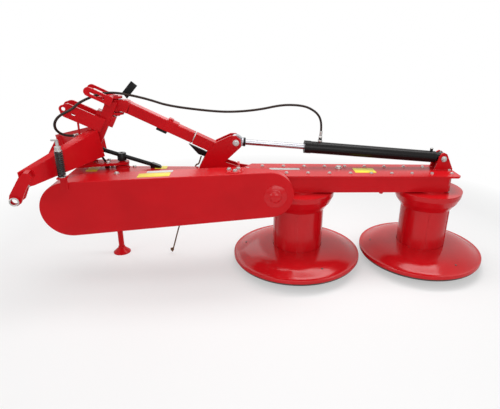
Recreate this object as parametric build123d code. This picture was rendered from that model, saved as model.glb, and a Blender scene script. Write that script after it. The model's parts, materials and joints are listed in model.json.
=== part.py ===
from build123d import *
import math
import os

os.makedirs("parts", exist_ok=True)

# Millimetres. X runs outwards along the cutter beam, Y points to the front at work, Z points up.
# The origin is on the ground under the inner drum's axis.
# The mower stands parked: hitch folded back along the boom, leg down, cutter level on its saucers.

# Fits and gaps
RUN = 0.05
SEAT = 0.3
AIR = 6.0

# Cutter beam and its lid
DRUM_SPACING = 800.0
BEAM_LEFT, BEAM_RIGHT = -125.0, 899.0
BEAM_FRONT, BEAM_BACK = -109.0, 124.0
BEAM_LOW, BEAM_TOP = 494.0, 582.0
BEAM_WALL, BEAM_CORNER = 8.0, 22.0
LID_THICK, LID_OVERHANG = 12.0, 8.0
LID_LEFT, LID_RIGHT = -330.0, 948.0
LID_FRONT, LID_BACK = BEAM_FRONT - LID_OVERHANG, BEAM_BACK + LID_OVERHANG
LID_TOP = BEAM_TOP + LID_THICK

# Lift pivot, a shaft along Y
PIVOT_X, PIVOT_Z = -162.0, 528.0
PIVOT_R, CHEEK_R, NECK_R = 20.0, 33.0, 36.0
CHEEK_THICK = 10.0
CHEEK_NEAR = LID_FRONT - 5.0
CHEEK_FAR = LID_BACK + AIR

# Boom
BOOM_NEAR, BOOM_FAR = -127.0, 84.0
BOOM_LOW, BOOM_TOP = 500.0, 590.0
BOOM_LEFT, BOOM_RIGHT = -1240.0, -364.0
BOOM_WALL, FLANGE_THICK = 6.0, 14.0

# Belt guard: circles round the two pulleys, and the depths of its front and back
BIG_X, BIG_Z, BIG_R = -1190.0, 461.4, 143.5
SMALL_X, SMALL_Z, SMALL_R = -189.5, 533.8, 126.0
GUARD_FRONT, GUARD_WALL = -262.0, 3.0
GUARD_BACK = BOOM_NEAR - GUARD_WALL
GUARD_NOSE_BACK = -213.0

# Plane of the strut, the lift cylinder and the king pin
SPINE_Y = 54.0
KING_X, KING_R = -1000.0, 14.0
KING_EYE_R, EYE_LOW, EYE_HIGH = 30.0, 906.0, 968.0
HITCH_TURN = 189.0
FORK_THICK = 12.0
STRUT_SIZE, STRUT_WALL = 60.0, 5.0

# Drums
DRUM_R, DRUM_TOP, DRUM_FOOT = 149.5, 392.0, 110.0
AXLE_R = 30.0
DISC_R, DISC_RIM_LOW, DISC_RIM_HIGH = 386.0, 60.0, 82.0
SAUCER_R, SAUCER_FLAT_R, SAUCER_RIM, HUB_TOP = 350.0, 200.0, 42.0, 50.0
COLLAR_R, COLLAR_TOP = 207.0, 488.0
COLLAR_WALL = 5.0

# Lift cylinder
ROD_EYE_X, ROD_EYE_Z = -369.5, 747.5
BARREL_EYE_X, BARREL_EYE_Z = 881.0, 664.0
BARREL_R, ROD_R = 35.0, 16.0
BARREL_LENGTH = 847.0
EYE_BORE_R, EYE_PIN_R = 24.0, 12.0
LUG_GAP, LUG_THICK = 60.0, 10.0

# Hitch: lower eyes and top link plates, in the hitch's own frame
EYE_X, EYE_Y, EYE_Z, EYE_R = 424.0, 415.0, 572.0, 14.25
PLATE_GAP, PLATE_THICK = 112.0, 12.0
LINK_R = 9.75

# Leg
LEG_X, LEG_Y, LEG_PIVOT_Z, LEG_R, FOOT_R = -1088.0, 165.0, 540.0, 16.0, 50.0

HITCH = Location((KING_X, SPINE_Y, 0), (0, 0, HITCH_TURN))
UP = (Align.CENTER, Align.CENTER, Align.MIN)


def side_plate(points, y0, y1):
    """A plate with its outline in X and Z, from y0 to y1."""
    return extrude(Plane.XZ.offset(-y1) * make_face(Polyline(*points, close=True)), y1 - y0)


def side_disc(x, z, radius, y0, y1):
    """A round piece along Y, from y0 to y1."""
    return extrude(Plane.XZ.offset(-y1) * Pos(x, z) * Circle(radius), y1 - y0)


def flat_plate(points, z0, z1):
    """A plate with its outline in X and Y, from z0 to z1."""
    return extrude(Plane.XY.offset(z0) * make_face(Polyline(*points, close=True)), z1 - z0)


def block(x0, x1, y0, y1, z0, z1):
    return Pos((x0 + x1) / 2, (y0 + y1) / 2, (z0 + z1) / 2) * Box(x1 - x0, y1 - y0, z1 - z0)


def post(x, y, z0, z1, radius):
    return Pos(x, y, (z0 + z1) / 2) * Cylinder(radius, z1 - z0)


def along(start, end):
    """A plane at start whose normal points at end, with its own x across, level."""
    direction = (Vector(*end) - Vector(*start)).normalized()
    level = Vector(0, 0, 1).cross(direction)
    return Plane(origin=start, x_dir=level.normalized(), z_dir=direction)


def bar(start, end, shape):
    return extrude(along(start, end) * shape, (Vector(*end) - Vector(*start)).length)


def tube_section(width, depth, wall):
    return RectangleRounded(width, depth, 5) - Rectangle(width - 2 * wall, depth - 2 * wall)


def joined(shapes):
    """One shape from several that touch."""
    total = None
    for shape in shapes:
        total = shape if total is None else total + shape
    return total


def ring_profile(points):
    """A turned piece from its half profile in radius and height."""
    return revolve(Plane.XZ * make_face(Polyline(*points, close=True)), Axis.Z)


nodes = {}

# Boom: a square tube closed at its left end, open at the right where the yoke's flange closes it
boom = block(BOOM_LEFT, BOOM_RIGHT, BOOM_NEAR, BOOM_FAR, BOOM_LOW, BOOM_TOP)
boom = fillet(boom.edges().filter_by(Axis.X), 8)
boom -= block(
    BOOM_LEFT + BOOM_WALL, BOOM_RIGHT + 1, BOOM_NEAR + BOOM_WALL, BOOM_FAR - BOOM_WALL,
    BOOM_LOW + BOOM_WALL, BOOM_TOP - BOOM_WALL,
)
nodes["boom_tube"] = boom


def belt_solid(shrink, y0, y1):
    """The form round both pulleys, drawn in by shrink."""
    r_big, r_small = BIG_R - shrink, SMALL_R - shrink
    gap = math.dist((BIG_X, BIG_Z), (SMALL_X, SMALL_Z))
    tilt = math.atan2(SMALL_Z - BIG_Z, SMALL_X - BIG_X)
    across = math.acos((r_small - r_big) / gap)
    corners = []
    for x, z, r, turn in (
        (SMALL_X, SMALL_Z, r_small, 1), (BIG_X, BIG_Z, r_big, 1), (BIG_X, BIG_Z, r_big, -1), (SMALL_X, SMALL_Z, r_small, -1),
    ):
        angle = tilt + turn * across
        corners.append((x + r * math.cos(angle), z + r * math.sin(angle)))
    outline = make_face(Polyline(*corners, close=True))
    outline += Pos(SMALL_X, SMALL_Z) * Circle(r_small) + Pos(BIG_X, BIG_Z) * Circle(r_big)
    return extrude(Plane.XZ.offset(-y1) * outline, y1 - y0)


# Belt guard: a pressed shell whose back slants forward to clear the inner collar, and its back plate
SLANT_START = BOOM_RIGHT - 8.0
far_left, far_right = BIG_X - 200.0, 0.0


def back_line(shift):
    """The guard's back seen from above, moved by shift."""
    return [
        (far_left, GUARD_BACK + shift), (SLANT_START, GUARD_BACK + shift),
        (PIVOT_X, GUARD_NOSE_BACK + shift), (far_right, GUARD_NOSE_BACK + shift),
    ]


shell = belt_solid(0, GUARD_FRONT, GUARD_BACK + 50)
shell = fillet(shell.faces().sort_by(Axis.Y)[0].edges(), 5)
front_part = flat_plate(back_line(0) + [(far_right, GUARD_FRONT - 1), (far_left, GUARD_FRONT - 1)], 200, 800)
shell = (shell & front_part) - belt_solid(GUARD_WALL, GUARD_FRONT + GUARD_WALL, GUARD_BACK + 51)
nodes["belt_guard"] = shell
band = flat_plate(back_line(0) + back_line(GUARD_WALL)[::-1], 200, 800)
nodes["guard_backplate"] = belt_solid(0, GUARD_FRONT, GUARD_BACK + 50) & band

# Domed cap over the small pulley
cap = ring_profile([(0, 0), (60, 0), (60, 5), (54, 10), (36, 14), (32, 10), (0, 10)])
nodes["pulley_cap"] = Pos(PIVOT_X, GUARD_FRONT, PIVOT_Z) * Rot(90, 0, 0) * cap

# Yoke: flange on the boom's end, a cheek on each side of the neck, and the pivot shaft
flange_right = BOOM_RIGHT + FLANGE_THICK
yoke = block(BOOM_RIGHT, flange_right, BOOM_NEAR, CHEEK_FAR + CHEEK_THICK, BOOM_LOW - 20, BOOM_TOP + 12)
for y0, y1 in ((CHEEK_NEAR - CHEEK_THICK, CHEEK_NEAR), (CHEEK_FAR, CHEEK_FAR + CHEEK_THICK)):
    outline = [
        (flange_right, BOOM_LOW), (flange_right, BOOM_TOP), (PIVOT_X, PIVOT_Z + CHEEK_R), (PIVOT_X, PIVOT_Z - CHEEK_R),
    ]
    yoke += side_plate(outline, y0, y1) + side_disc(PIVOT_X, PIVOT_Z, CHEEK_R, y0, y1)
shaft_near, shaft_far = CHEEK_NEAR - CHEEK_THICK - 8, CHEEK_FAR + CHEEK_THICK
shaft = side_disc(PIVOT_X, PIVOT_Z, PIVOT_R, shaft_near, shaft_far)
nodes["pivot_yoke"] = yoke - shaft
nodes["pivot_shaft"] = shaft + side_disc(PIVOT_X, PIVOT_Z, PIVOT_R + 8, shaft_far, shaft_far + 10)

# Drive input behind the big pulley: a bearing tube under the boom and a stub shaft
STUB_R, STUB_LENGTH = 17.5, 80.0
tube_end = BOOM_FAR + 12
drive = side_disc(BIG_X, BIG_Z, 58, BOOM_NEAR, tube_end) - block(
    BOOM_LEFT, BOOM_RIGHT, BOOM_NEAR - 1, BOOM_FAR, BOOM_LOW, BOOM_TOP
)
nodes["drive_input"] = drive + side_disc(BIG_X, BIG_Z, STUB_R, tube_end, tube_end + STUB_LENGTH)

# Inner bracket: two plates on the boom that carry the strut's end and the rod's pin
LUG_NEAR, LUG_FAR = SPINE_Y - LUG_GAP / 2, SPINE_Y + LUG_GAP / 2
bracket = [
    (-581, BOOM_TOP), (-525, 702), (-482, 748), (-400, 787), (-369, 787), (-341, 763), (-341, 724), (-433, 636),
    (-372, 616), (-350, BOOM_TOP + 12), (-350, BOOM_TOP),
]
plates = joined([
    side_plate(bracket, LUG_NEAR - LUG_THICK, LUG_NEAR), side_plate(bracket, LUG_FAR, LUG_FAR + LUG_THICK),
    side_plate([(-566, BOOM_TOP), (-552, BOOM_TOP), (-508, 684), (-520, 690)], LUG_NEAR, LUG_FAR),
    side_disc(ROD_EYE_X, ROD_EYE_Z, EYE_PIN_R, LUG_NEAR - LUG_THICK - 6, LUG_FAR + LUG_THICK + 6),
])
plates -= block(BOOM_RIGHT, flange_right, BOOM_NEAR, CHEEK_FAR + CHEEK_THICK, BOOM_LOW, BOOM_TOP + 12)
nodes["inner_bracket"] = plates

# Upper strut: eye on the upper king pin, outer tube, and an inner tube to the bracket
STRUT_SLOPE = -0.476
STRUT_MID = (-850.0, 885.0)


def on_strut(x):
    return (x, SPINE_Y, STRUT_MID[1] + STRUT_SLOPE * (x - STRUT_MID[0]))


STRUT_START, STRUT_STEP, STRUT_END, STRUT_TAIL = -950.0, -612.0, -450.0, -700.0
outer = bar(on_strut(STRUT_START), on_strut(STRUT_STEP), tube_section(STRUT_SIZE, STRUT_SIZE, STRUT_WALL))
outer += bar(on_strut(STRUT_START), on_strut(STRUT_START + 6), Rectangle(STRUT_SIZE, STRUT_SIZE))
outer += post(KING_X, SPINE_Y, EYE_LOW, EYE_HIGH, KING_EYE_R)
outer += block(KING_X + 18, STRUT_START + 6, SPINE_Y - 18, SPINE_Y + 18, EYE_LOW + 15, EYE_HIGH - 13)
outer -= post(KING_X, SPINE_Y, EYE_LOW - 1, EYE_HIGH + 1, KING_R + RUN)
nodes["strut_outer"] = outer
inner_size = STRUT_SIZE - 2 * STRUT_WALL
inner = bar(on_strut(STRUT_TAIL), on_strut(STRUT_END), tube_section(inner_size, inner_size, STRUT_WALL))
sleeve = bar(on_strut(-598), on_strut(STRUT_END), Rectangle(STRUT_SIZE, STRUT_SIZE))
sleeve -= bar(on_strut(-620), on_strut(STRUT_END + 20), Rectangle(inner_size, inner_size))
nodes["strut_inner"] = inner + sleeve

# Latch lever under the strut's inner tube
lever = [(-632, 731), (-612, 722), (-532, 684), (-528, 664), (-540, 657), (-582, 672)]
lever_plate = side_plate(lever, SPINE_Y - 8, SPINE_Y + 8)
nodes["latch_lever"] = lever_plate - bar(on_strut(-700), on_strut(STRUT_END), Rectangle(STRUT_SIZE, STRUT_SIZE))
nodes["latch_lever"] -= nodes["inner_bracket"]

# King lug on the boom with its standing pin, and the clamp that holds the breakaway tube
LUG_TOP, FOOT_LOW, FOOT_HIGH = BOOM_TOP + 16, BOOM_TOP + 22, BOOM_TOP + 36
lug = post(KING_X, SPINE_Y, BOOM_TOP, LUG_TOP, 34) + post(KING_X, SPINE_Y, LUG_TOP, FOOT_HIGH + 8, KING_R)
nodes["king_lug"] = lug + post(KING_X, SPINE_Y, FOOT_HIGH + 8, FOOT_HIGH + 46, 21)
TUBE_A, TUBE_B = (-1092, SPINE_Y, 689), (-836, SPINE_Y, 606)
breakaway = bar(TUBE_A, TUBE_B, Circle(11.5)) + side_plate(
    [(-848, BOOM_TOP), (-790, BOOM_TOP), (-796, 602), (-836, 618), (-848, 616)], SPINE_Y - 14, SPINE_Y + 14
)
nodes["king_lug"] -= bar(TUBE_A, TUBE_B, Circle(11.5))
nodes["breakaway_tube"] = breakaway

# Hitch mast and its pivots, in the hitch's own frame: x to the tractor, y to the near side
MAST_WIDE, MAST_DEEP, MAST_WALL = 80.0, 56.0, 6.0
MAST_TOP, MAST_FOOT = (20, 0, 952), (176, 0, FOOT_HIGH)
FORK_LOW, FORK_HIGH = EYE_LOW - AIR, EYE_HIGH + AIR
mast_solid = bar((10, 0, 973), (197, 0, 582), Rectangle(MAST_WIDE, MAST_DEEP))
mast = bar((10, 0, 973), (197, 0, 582), tube_section(MAST_WIDE, MAST_DEEP, MAST_WALL))
mast &= block(-60, 260, -60, 60, FOOT_HIGH, FORK_HIGH - 18)
mast -= post(0, 0, 860, 1000, KING_EYE_R + AIR) + block(-60, 40, -60, 30, FORK_LOW - FORK_THICK, 1000)
fork = joined([
    flat_plate([(0, -34), (60, -34), (60, 34), (0, 34)], FORK_LOW - FORK_THICK, FORK_LOW),
    post(0, 0, FORK_LOW - FORK_THICK, FORK_LOW, 34),
    flat_plate([(0, -34), (34, -56), (88, -56), (88, 56), (34, 56), (0, 34)], FORK_HIGH, FORK_HIGH + FORK_THICK),
    post(0, 0, FORK_HIGH, FORK_HIGH + FORK_THICK, 34),
    post(0, 0, FORK_LOW - FORK_THICK - 8, FORK_HIGH + FORK_THICK + 4, KING_R),
    block(42, 56, -34, 34, FORK_LOW - FORK_THICK, FORK_HIGH),
])
nodes["upper_fork"] = HITCH * fork
nodes["mast"] = HITCH * (mast - fork)

foot = flat_plate([(0, -36), (228, -60), (228, 60), (0, 36)], FOOT_LOW, FOOT_HIGH)
foot += post(0, 0, FOOT_LOW, FOOT_HIGH, 36)
foot -= post(0, 0, FOOT_LOW - 1, FOOT_HIGH + 1, KING_R + RUN)
nodes["hitch_foot"] = HITCH * foot


# Pairs of plates on the mast: slotted ones above, top link ones below
def strap(x0, z0, x1, z1, radius):
    """An outline with a round end at x0, z0 and a square end at x1, z1."""
    length = math.dist((x0, z0), (x1, z1))
    turn = math.degrees(math.atan2(z1 - z0, x1 - x0))
    return Pos(x0, z0) * Rot(0, 0, turn) * (Circle(radius) + Pos(length / 2, 0) * Rectangle(length, 2 * radius))


def slot_hole(x0, z0, x1, z1, radius):
    return strap(x0, z0, x1, z1, radius) + Pos(x1, z1) * Circle(radius)


def upright(shape, y0):
    return extrude(Plane.XZ.offset(-y0 - PLATE_THICK) * shape, PLATE_THICK)


slotted = []
toplink = []
for side in (-1, 1):
    y0 = side * (PLATE_GAP + PLATE_THICK) / 2 - PLATE_THICK / 2
    upper = upright(strap(119, 1014, 14, 961, 23) - slot_hole(106, 1007.5, 54, 981, 8), y0)
    if side < 0:
        upper -= block(-60, 40, -80, -40, 900, 968)
    slotted.append(upper)
    lower = upright(strap(226, 917, 70, 838, 36), y0)
    lower += upright(strap(245, 927, 150, 879, 20), y0)
    lower -= upright(Pos(245, 927) * Circle(LINK_R) + slot_hole(205, 900, 199, 897, 7), y0)
    toplink.append(lower)
toplink = joined(toplink) + block(74, 110, -PLATE_GAP / 2, PLATE_GAP / 2, 848, 862)
HOLDER_X, HOLDER_Y, HOLDER_R = 188.0, 53.0, 5.0
toplink += post(HOLDER_X, HOLDER_Y, 776, 872, HOLDER_R)
slotted = joined(slotted)
nodes["slotted_plates"] = HITCH * (slotted - fork)
nodes["toplink_plates"] = HITCH * (toplink - mast_solid)

# Hitch arms and the ears that hold the lower eyes
for name, side in (("near", 1), ("far", -1)):
    start, end = (112, side * 46, 744), (378, side * 372, 660)
    arm = loft([along(start, end) * Rectangle(64, 146), along(end, start).rotated((0, 180, 0)) * Rectangle(54, 74)])
    solid_arm = arm
    nodes["arm_" + name] = HITCH * (arm - mast_solid)
    ear = [
        (343, 672), (354, 698), (372, 702), (394, 680), (442, 600), (447, 578), (440, 556), (418, 547), (400, 560),
        (378, 612),
    ]
    pieces = []
    for y0, y1 in ((340, 352), (404, 416)):
        a, b = sorted((side * y0, side * y1))
        pieces.append(side_plate(ear, a, b))
    a, b = sorted((side * 352, side * 404))
    pieces.append(side_plate([(354, 698), (372, 702), (394, 680), (430, 620), (418, 612), (384, 668), (362, 684)], a, b))
    a, b = sorted((side * 416, side * 428))
    pieces.append(side_disc(EYE_X, EYE_Z, 21, a, b))
    knuckle = joined(pieces) - side_disc(EYE_X, EYE_Z, EYE_R, -500, 500)
    nodes["knuckle_" + name] = HITCH * (knuckle - solid_arm)

# Belt tensioner on the guard's corner: seat, coil spring with its core, and rod with a bent grip
COIL_X, COIL_Y, COIL_LOW, COIL_R, WIRE_R, TURNS, PITCH = -1196.0, -276.0, 640.0, 15.0, 4.0, 12, 11.0
seat_top = COIL_LOW - 1
seat = block(COIL_X - 20, COIL_X + 20, COIL_Y - 20, COIL_Y + 24, seat_top - 8, seat_top)
seat += block(COIL_X - 16, COIL_X + 16, GUARD_FRONT - 8, GUARD_FRONT, 570, seat_top - 8)
nodes["tensioner_seat"] = seat
spring = joined(
    [Pos(COIL_X, COIL_Y, COIL_LOW + 3 + PITCH * i) * Torus(COIL_R, WIRE_R) for i in range(TURNS)]
    + [Pos(COIL_X, COIL_Y, seat_top) * (Cylinder(COIL_R - 3, PITCH * TURNS, align=UP) - Cylinder(8, 200, align=UP))]
)
nodes["tensioner_spring"] = spring
rod_top = 818.0
rod = post(COIL_X, COIL_Y, seat_top, rod_top, 7.7) + post(
    COIL_X, COIL_Y, seat_top + PITCH * TURNS, seat_top + PITCH * TURNS + 18, 14
)
rod += Pos(COIL_X - 10, COIL_Y, rod_top + 2) * Rot(0, 90, 0) * Cylinder(5, 30)
nodes["tensioner_rod"] = rod

# Stand: a forked bracket on the boom's far side and a tube leg with a cone foot, hinged in it
PIN_R, LEG_GAP = 7.0, 3.0
inside_near, inside_far = LEG_Y - LEG_R - LEG_GAP, LEG_Y + LEG_R + LEG_GAP
bracket = [(LEG_X - 22, 516), (LEG_X - 22, 582), (LEG_X + 22, 582), (LEG_X + 22, 516)]
stand = side_plate(bracket, BOOM_FAR, inside_near) + side_plate(bracket, inside_far, inside_far + 8)
stand += block(LEG_X - 22, LEG_X + 22, inside_near, inside_far, 574, 582)
stand += side_disc(LEG_X, LEG_PIVOT_Z, PIN_R, inside_near - 8, inside_far + 14)
nodes["stand_bracket"] = stand
leg = post(LEG_X, LEG_Y, 8, LEG_PIVOT_Z, LEG_R) + side_disc(LEG_X, LEG_PIVOT_Z, LEG_R + 2, LEG_Y - LEG_R - 1, LEG_Y + LEG_R + 1)
leg -= side_disc(LEG_X, LEG_PIVOT_Z, PIN_R + RUN, LEG_Y - 40, LEG_Y + 40)
foot_profile = [(0, 0), (FOOT_R, 0), (FOOT_R, 6), (LEG_R + 4, 34), (LEG_R + 4, 42), (0, 42)]
nodes["stand_leg"] = leg + Pos(LEG_X, LEG_Y, 0) * ring_profile(foot_profile)

# Cutter beam: an open trough under its lid, and the neck that turns on the pivot shaft
trough = flat_plate(
    [(BEAM_LEFT, BEAM_FRONT), (BEAM_RIGHT - BEAM_CORNER, BEAM_FRONT), (BEAM_RIGHT, BEAM_FRONT + BEAM_CORNER),
     (BEAM_RIGHT, BEAM_BACK - BEAM_CORNER), (BEAM_RIGHT - BEAM_CORNER, BEAM_BACK), (BEAM_LEFT, BEAM_BACK)],
    BEAM_LOW, BEAM_TOP,
)
trough -= block(
    BEAM_LEFT + BEAM_WALL, BEAM_RIGHT - BEAM_CORNER - BEAM_WALL, BEAM_FRONT + BEAM_WALL, BEAM_BACK - BEAM_WALL,
    BEAM_LOW + BEAM_WALL, BEAM_TOP + 1,
)
nodes["cutter_beam"] = trough
nodes["beam_lid"] = flat_plate(
    [(-250, LID_FRONT), (LID_RIGHT - 18, LID_FRONT), (LID_RIGHT, LID_FRONT + 18), (LID_RIGHT, LID_BACK - 18),
     (LID_RIGHT - 18, LID_BACK), (-278, LID_BACK), (LID_LEFT, 45), (LID_LEFT, -60)], BEAM_TOP, LID_TOP
)
neck = side_disc(PIVOT_X, PIVOT_Z, NECK_R, BEAM_FRONT, BEAM_BACK) + block(
    PIVOT_X - 20, BEAM_LEFT, BEAM_FRONT, BEAM_BACK, PIVOT_Z - 20, BEAM_TOP
)
neck -= side_disc(PIVOT_X, PIVOT_Z, PIVOT_R + RUN, BEAM_FRONT - 1, BEAM_BACK + 1)
nodes["pivot_neck"] = neck

# Outer bracket with the barrel's pin
lug_outline = [(830, LID_TOP), (946, LID_TOP), (948, 601), (911, 672), (899, 694), (881, 702), (863, 694), (852, 672)]
nodes["outer_bracket"] = joined([
    side_plate(lug_outline, LUG_NEAR - LUG_THICK, LUG_NEAR), side_plate(lug_outline, LUG_FAR, LUG_FAR + LUG_THICK),
    side_disc(BARREL_EYE_X, BARREL_EYE_Z, EYE_PIN_R, LUG_NEAR - LUG_THICK - 6, LUG_FAR + LUG_THICK + 6),
])

# Collars with their fixed axles, and what turns round them
SPIGOT_R = 120.0
for name, x in (("inner", 0.0), ("outer", DRUM_SPACING)):
    collar = ring_profile([
        (0, COLLAR_TOP), (COLLAR_R, COLLAR_TOP), (COLLAR_R, 480), (COLLAR_R - 3, 457), (COLLAR_R - 21, 417),
        (COLLAR_R - 41, 392), (COLLAR_R - 50, 378), (COLLAR_R - 50 - COLLAR_WALL, 378), (COLLAR_R - 46, 396),
        (COLLAR_R - 26, 421), (COLLAR_R - 8, 459), (COLLAR_R - COLLAR_WALL, COLLAR_TOP - 6),
        (60, COLLAR_TOP - 6), (AXLE_R, 450), (AXLE_R, 20), (0, 20),
    ])
    collar += Pos(0, 0, COLLAR_TOP) * Cylinder(SPIGOT_R, BEAM_LOW - COLLAR_TOP, align=UP)
    nodes["collar_" + name] = Pos(x, 0, 0) * collar

    hub_r = AXLE_R + 14
    drum = ring_profile([
        (AXLE_R + RUN, DRUM_TOP - 40), (AXLE_R + RUN, DRUM_TOP), (DRUM_R - 8, DRUM_TOP), (DRUM_R, DRUM_TOP - 8),
        (DRUM_R, DRUM_FOOT), (DRUM_R + 16, DRUM_FOOT - 8), (DRUM_R + 16, DRUM_FOOT - 16), (AXLE_R + RUN, DRUM_FOOT - 16),
        (AXLE_R + RUN, DRUM_FOOT + 20), (hub_r, DRUM_FOOT + 20), (hub_r, DRUM_FOOT - 6),
        (DRUM_R - 5, DRUM_FOOT - 6), (DRUM_R - 5, DRUM_TOP - 10), (hub_r, DRUM_TOP - 10), (hub_r, DRUM_TOP - 40),
    ])
    ribs = [
        Rot(0, 0, 60 * i + 20) * block(DRUM_R - 2, DRUM_R + 3, -5, 5, DRUM_FOOT - 2, DRUM_TOP - 30) for i in range(6)
    ]
    nodes["drum_" + name] = Pos(x, 0, 0) * (drum + joined(ribs))

    disc = ring_profile([
        (AXLE_R + 6, 88), (DRUM_R + 16, 88), (DISC_R - 6, DISC_RIM_HIGH - 10), (DISC_R - 5, DISC_RIM_LOW),
        (DISC_R, DISC_RIM_LOW), (DISC_R, DISC_RIM_HIGH - 6), (DISC_R - 6, DISC_RIM_HIGH),
        (DRUM_R + 16, 94), (AXLE_R + 6, 94),
    ])
    nodes["disc_" + name] = Pos(x, 0, 0) * disc

    blades = ring_profile([(240, 66), (344, 66), (344, 71), (240, 71)])
    for i in range(3):
        blades += Rot(0, 0, 120 * i) * block(300, 379, -24, 24, 62, 66)
        blades += Rot(0, 0, 120 * i) * post(316, 0, 71, 90, 12)
        blades += Rot(0, 0, 120 * i) * post(316, 0, 56, 66, 14)
    nodes["blades_" + name] = Pos(x, 0, 0) * (blades - disc)

    saucer = ring_profile([
        (0, 0), (SAUCER_FLAT_R, 0), (SAUCER_R - 20, 24), (SAUCER_R, SAUCER_RIM), (SAUCER_R - 5, SAUCER_RIM + 2),
        (SAUCER_R - 24, 29), (SAUCER_FLAT_R - 2, 5), (60, 5), (52, HUB_TOP), (AXLE_R + RUN, HUB_TOP), (AXLE_R + RUN, 18),
        (0, 18),
    ])
    nodes["saucer_" + name] = Pos(x, 0, 0) * saucer

# Lift cylinder
BARREL_EYE = (BARREL_EYE_X, SPINE_Y, BARREL_EYE_Z)
ROD_EYE = (ROD_EYE_X, SPINE_Y, ROD_EYE_Z)
ram_length = math.dist(BARREL_EYE, ROD_EYE)
lean = math.degrees(math.atan2(ROD_EYE_Z - BARREL_EYE_Z, BARREL_EYE_X - ROD_EYE_X))
RAM = Location(BARREL_EYE, (0, lean, 0))


def on_axis(x0, x1, radius):
    """A round piece on the cylinder's own axis, x0 to x1 from the barrel's eye."""
    return Pos((x0 + x1) / 2, 0, 0) * Rot(0, 90, 0) * Cylinder(radius, x1 - x0)


EYE_HALF = LUG_GAP / 2 - AIR
barrel = on_axis(-BARREL_LENGTH, -45, BARREL_R) + on_axis(-BARREL_LENGTH - 12, -BARREL_LENGTH + 26, BARREL_R + 2)
barrel += on_axis(-45, -26, 24) + side_disc(0, 0, 32, -EYE_HALF, EYE_HALF)
barrel -= on_axis(-BARREL_LENGTH - 13, -80, ROD_R + RUN) + on_axis(-BARREL_LENGTH + 26, -80, BARREL_R - 6)
barrel -= side_disc(0, 0, EYE_PIN_R + RUN, -30, 30)
barrel += post(-BARREL_LENGTH + 78, 0, BARREL_R - 1, BARREL_R + 26, 10)
barrel += post(-72, 0, BARREL_R - 1, BARREL_R + 14, 9)
nodes["ram_barrel"] = RAM * barrel
PISTON_START = -BARREL_LENGTH + 110
rod = on_axis(-ram_length + 20, PISTON_START, ROD_R) + on_axis(-ram_length + 34, -ram_length + 48, 24)
rod += side_disc(-ram_length, 0, 38, -EYE_HALF, EYE_HALF)
rod += on_axis(PISTON_START, PISTON_START + 30, BARREL_R - 6.4)
rod -= side_disc(-ram_length, 0, EYE_BORE_R, -EYE_HALF - 6, EYE_HALF + 6)
nodes["ram_rod"] = RAM * rod

# Hose from the cylinder's port along the strut to the hitch, in three stretches, and the latch's pull rope
HOSE_R, ROPE_R = 6.5, 4.5
HOSE_END = [
    (117.8, 54, 776.12), (122.5, 54, 845.9), (104, 54, 906), (52, 54, 944), (-8, 54, 960), (-60, 54, 960),
]
HOSE_LIFT = [
    (-60, 54, 960), (-112, 54, 960), (-236, 54, 930), (-372, 54, 914), (-492, 54, 914), (-612, 54, 926),
]
HOSE_TAIL = [
    (-612, 54, 926), (-727, 54, 937.5), (-832, 53, 971), (-925, 49, 992), (-992, 42, 1003), (-1048, 30, 1001),
    (-1092, 6, 989), (-1126, -24, 974), (-1156, -50, 957), (-1181, -68, 931), (-1202, -102, 920),
    (-1234, -119, 901), (-1258, -118, 867), (-1262, -102, 830), (-1246, -76, 802), (-1212, -57, 790),
    (-1192, -26, 787),
]
ROPE = [
    (-566, 46, 661), (-574, 50, 636), (-583, 60, 612), (-592, 78, 603), (-600, 95, 598), (-612, 103, 574),
    (-640, 110, 480), (-672, 116, 370), (-706, 122, 250), (-742, 127, 130), (-764, 130, 50), (-776, 131, 12),
]


def cord_tube(route, radius):
    """A tube along straight runs joined by arcs as large as the runs allow."""
    points = [Vector(*p) for p in route]
    radii = []
    for before, here, after in zip(points, points[1:], points[2:]):
        half_turn = math.radians((here - before).get_angle(after - here)) / 2
        radii.append(0.45 * min((here - before).length, (after - here).length) / math.tan(half_turn))
    path = FilletPolyline(*points, radius=radii)
    tube = sweep(Plane(origin=points[0], z_dir=points[1] - points[0]) * Circle(radius), path=path)
    print("cord", round(path.length), "radii", [round(r) for r in radii], round(tube.volume / path.length / radius**2, 4))
    return tube


nodes["hose_end"] = cord_tube(HOSE_END, HOSE_R)
nodes["hose_lift"] = cord_tube(HOSE_LIFT, HOSE_R)
nodes["hose_tail"] = cord_tube(HOSE_TAIL, HOSE_R)
nodes["pull_rope"] = cord_tube(ROPE, ROPE_R)
PLUG_LENGTH = 44.0
tail_end, before_end = Vector(*HOSE_TAIL[-1]), Vector(*HOSE_TAIL[-2])
plug_end = tail_end + (tail_end - before_end).normalized() * PLUG_LENGTH
plug = bar(tuple(tail_end), tuple(plug_end), Circle(HOSE_R + 3))
nodes["hose_plug"] = plug - HITCH * post(HOLDER_X, HOLDER_Y, 770, 880, HOLDER_R + SEAT)

for name, shape in nodes.items():
    export_step(shape, "parts/" + name + ".step")
print(len(nodes), "nodes")
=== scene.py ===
"""Looks of the drum mower: finishes, fasteners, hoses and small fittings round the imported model."""

import json
import math

import bmesh
import bpy
from mathutils import Matrix, Vector


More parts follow.
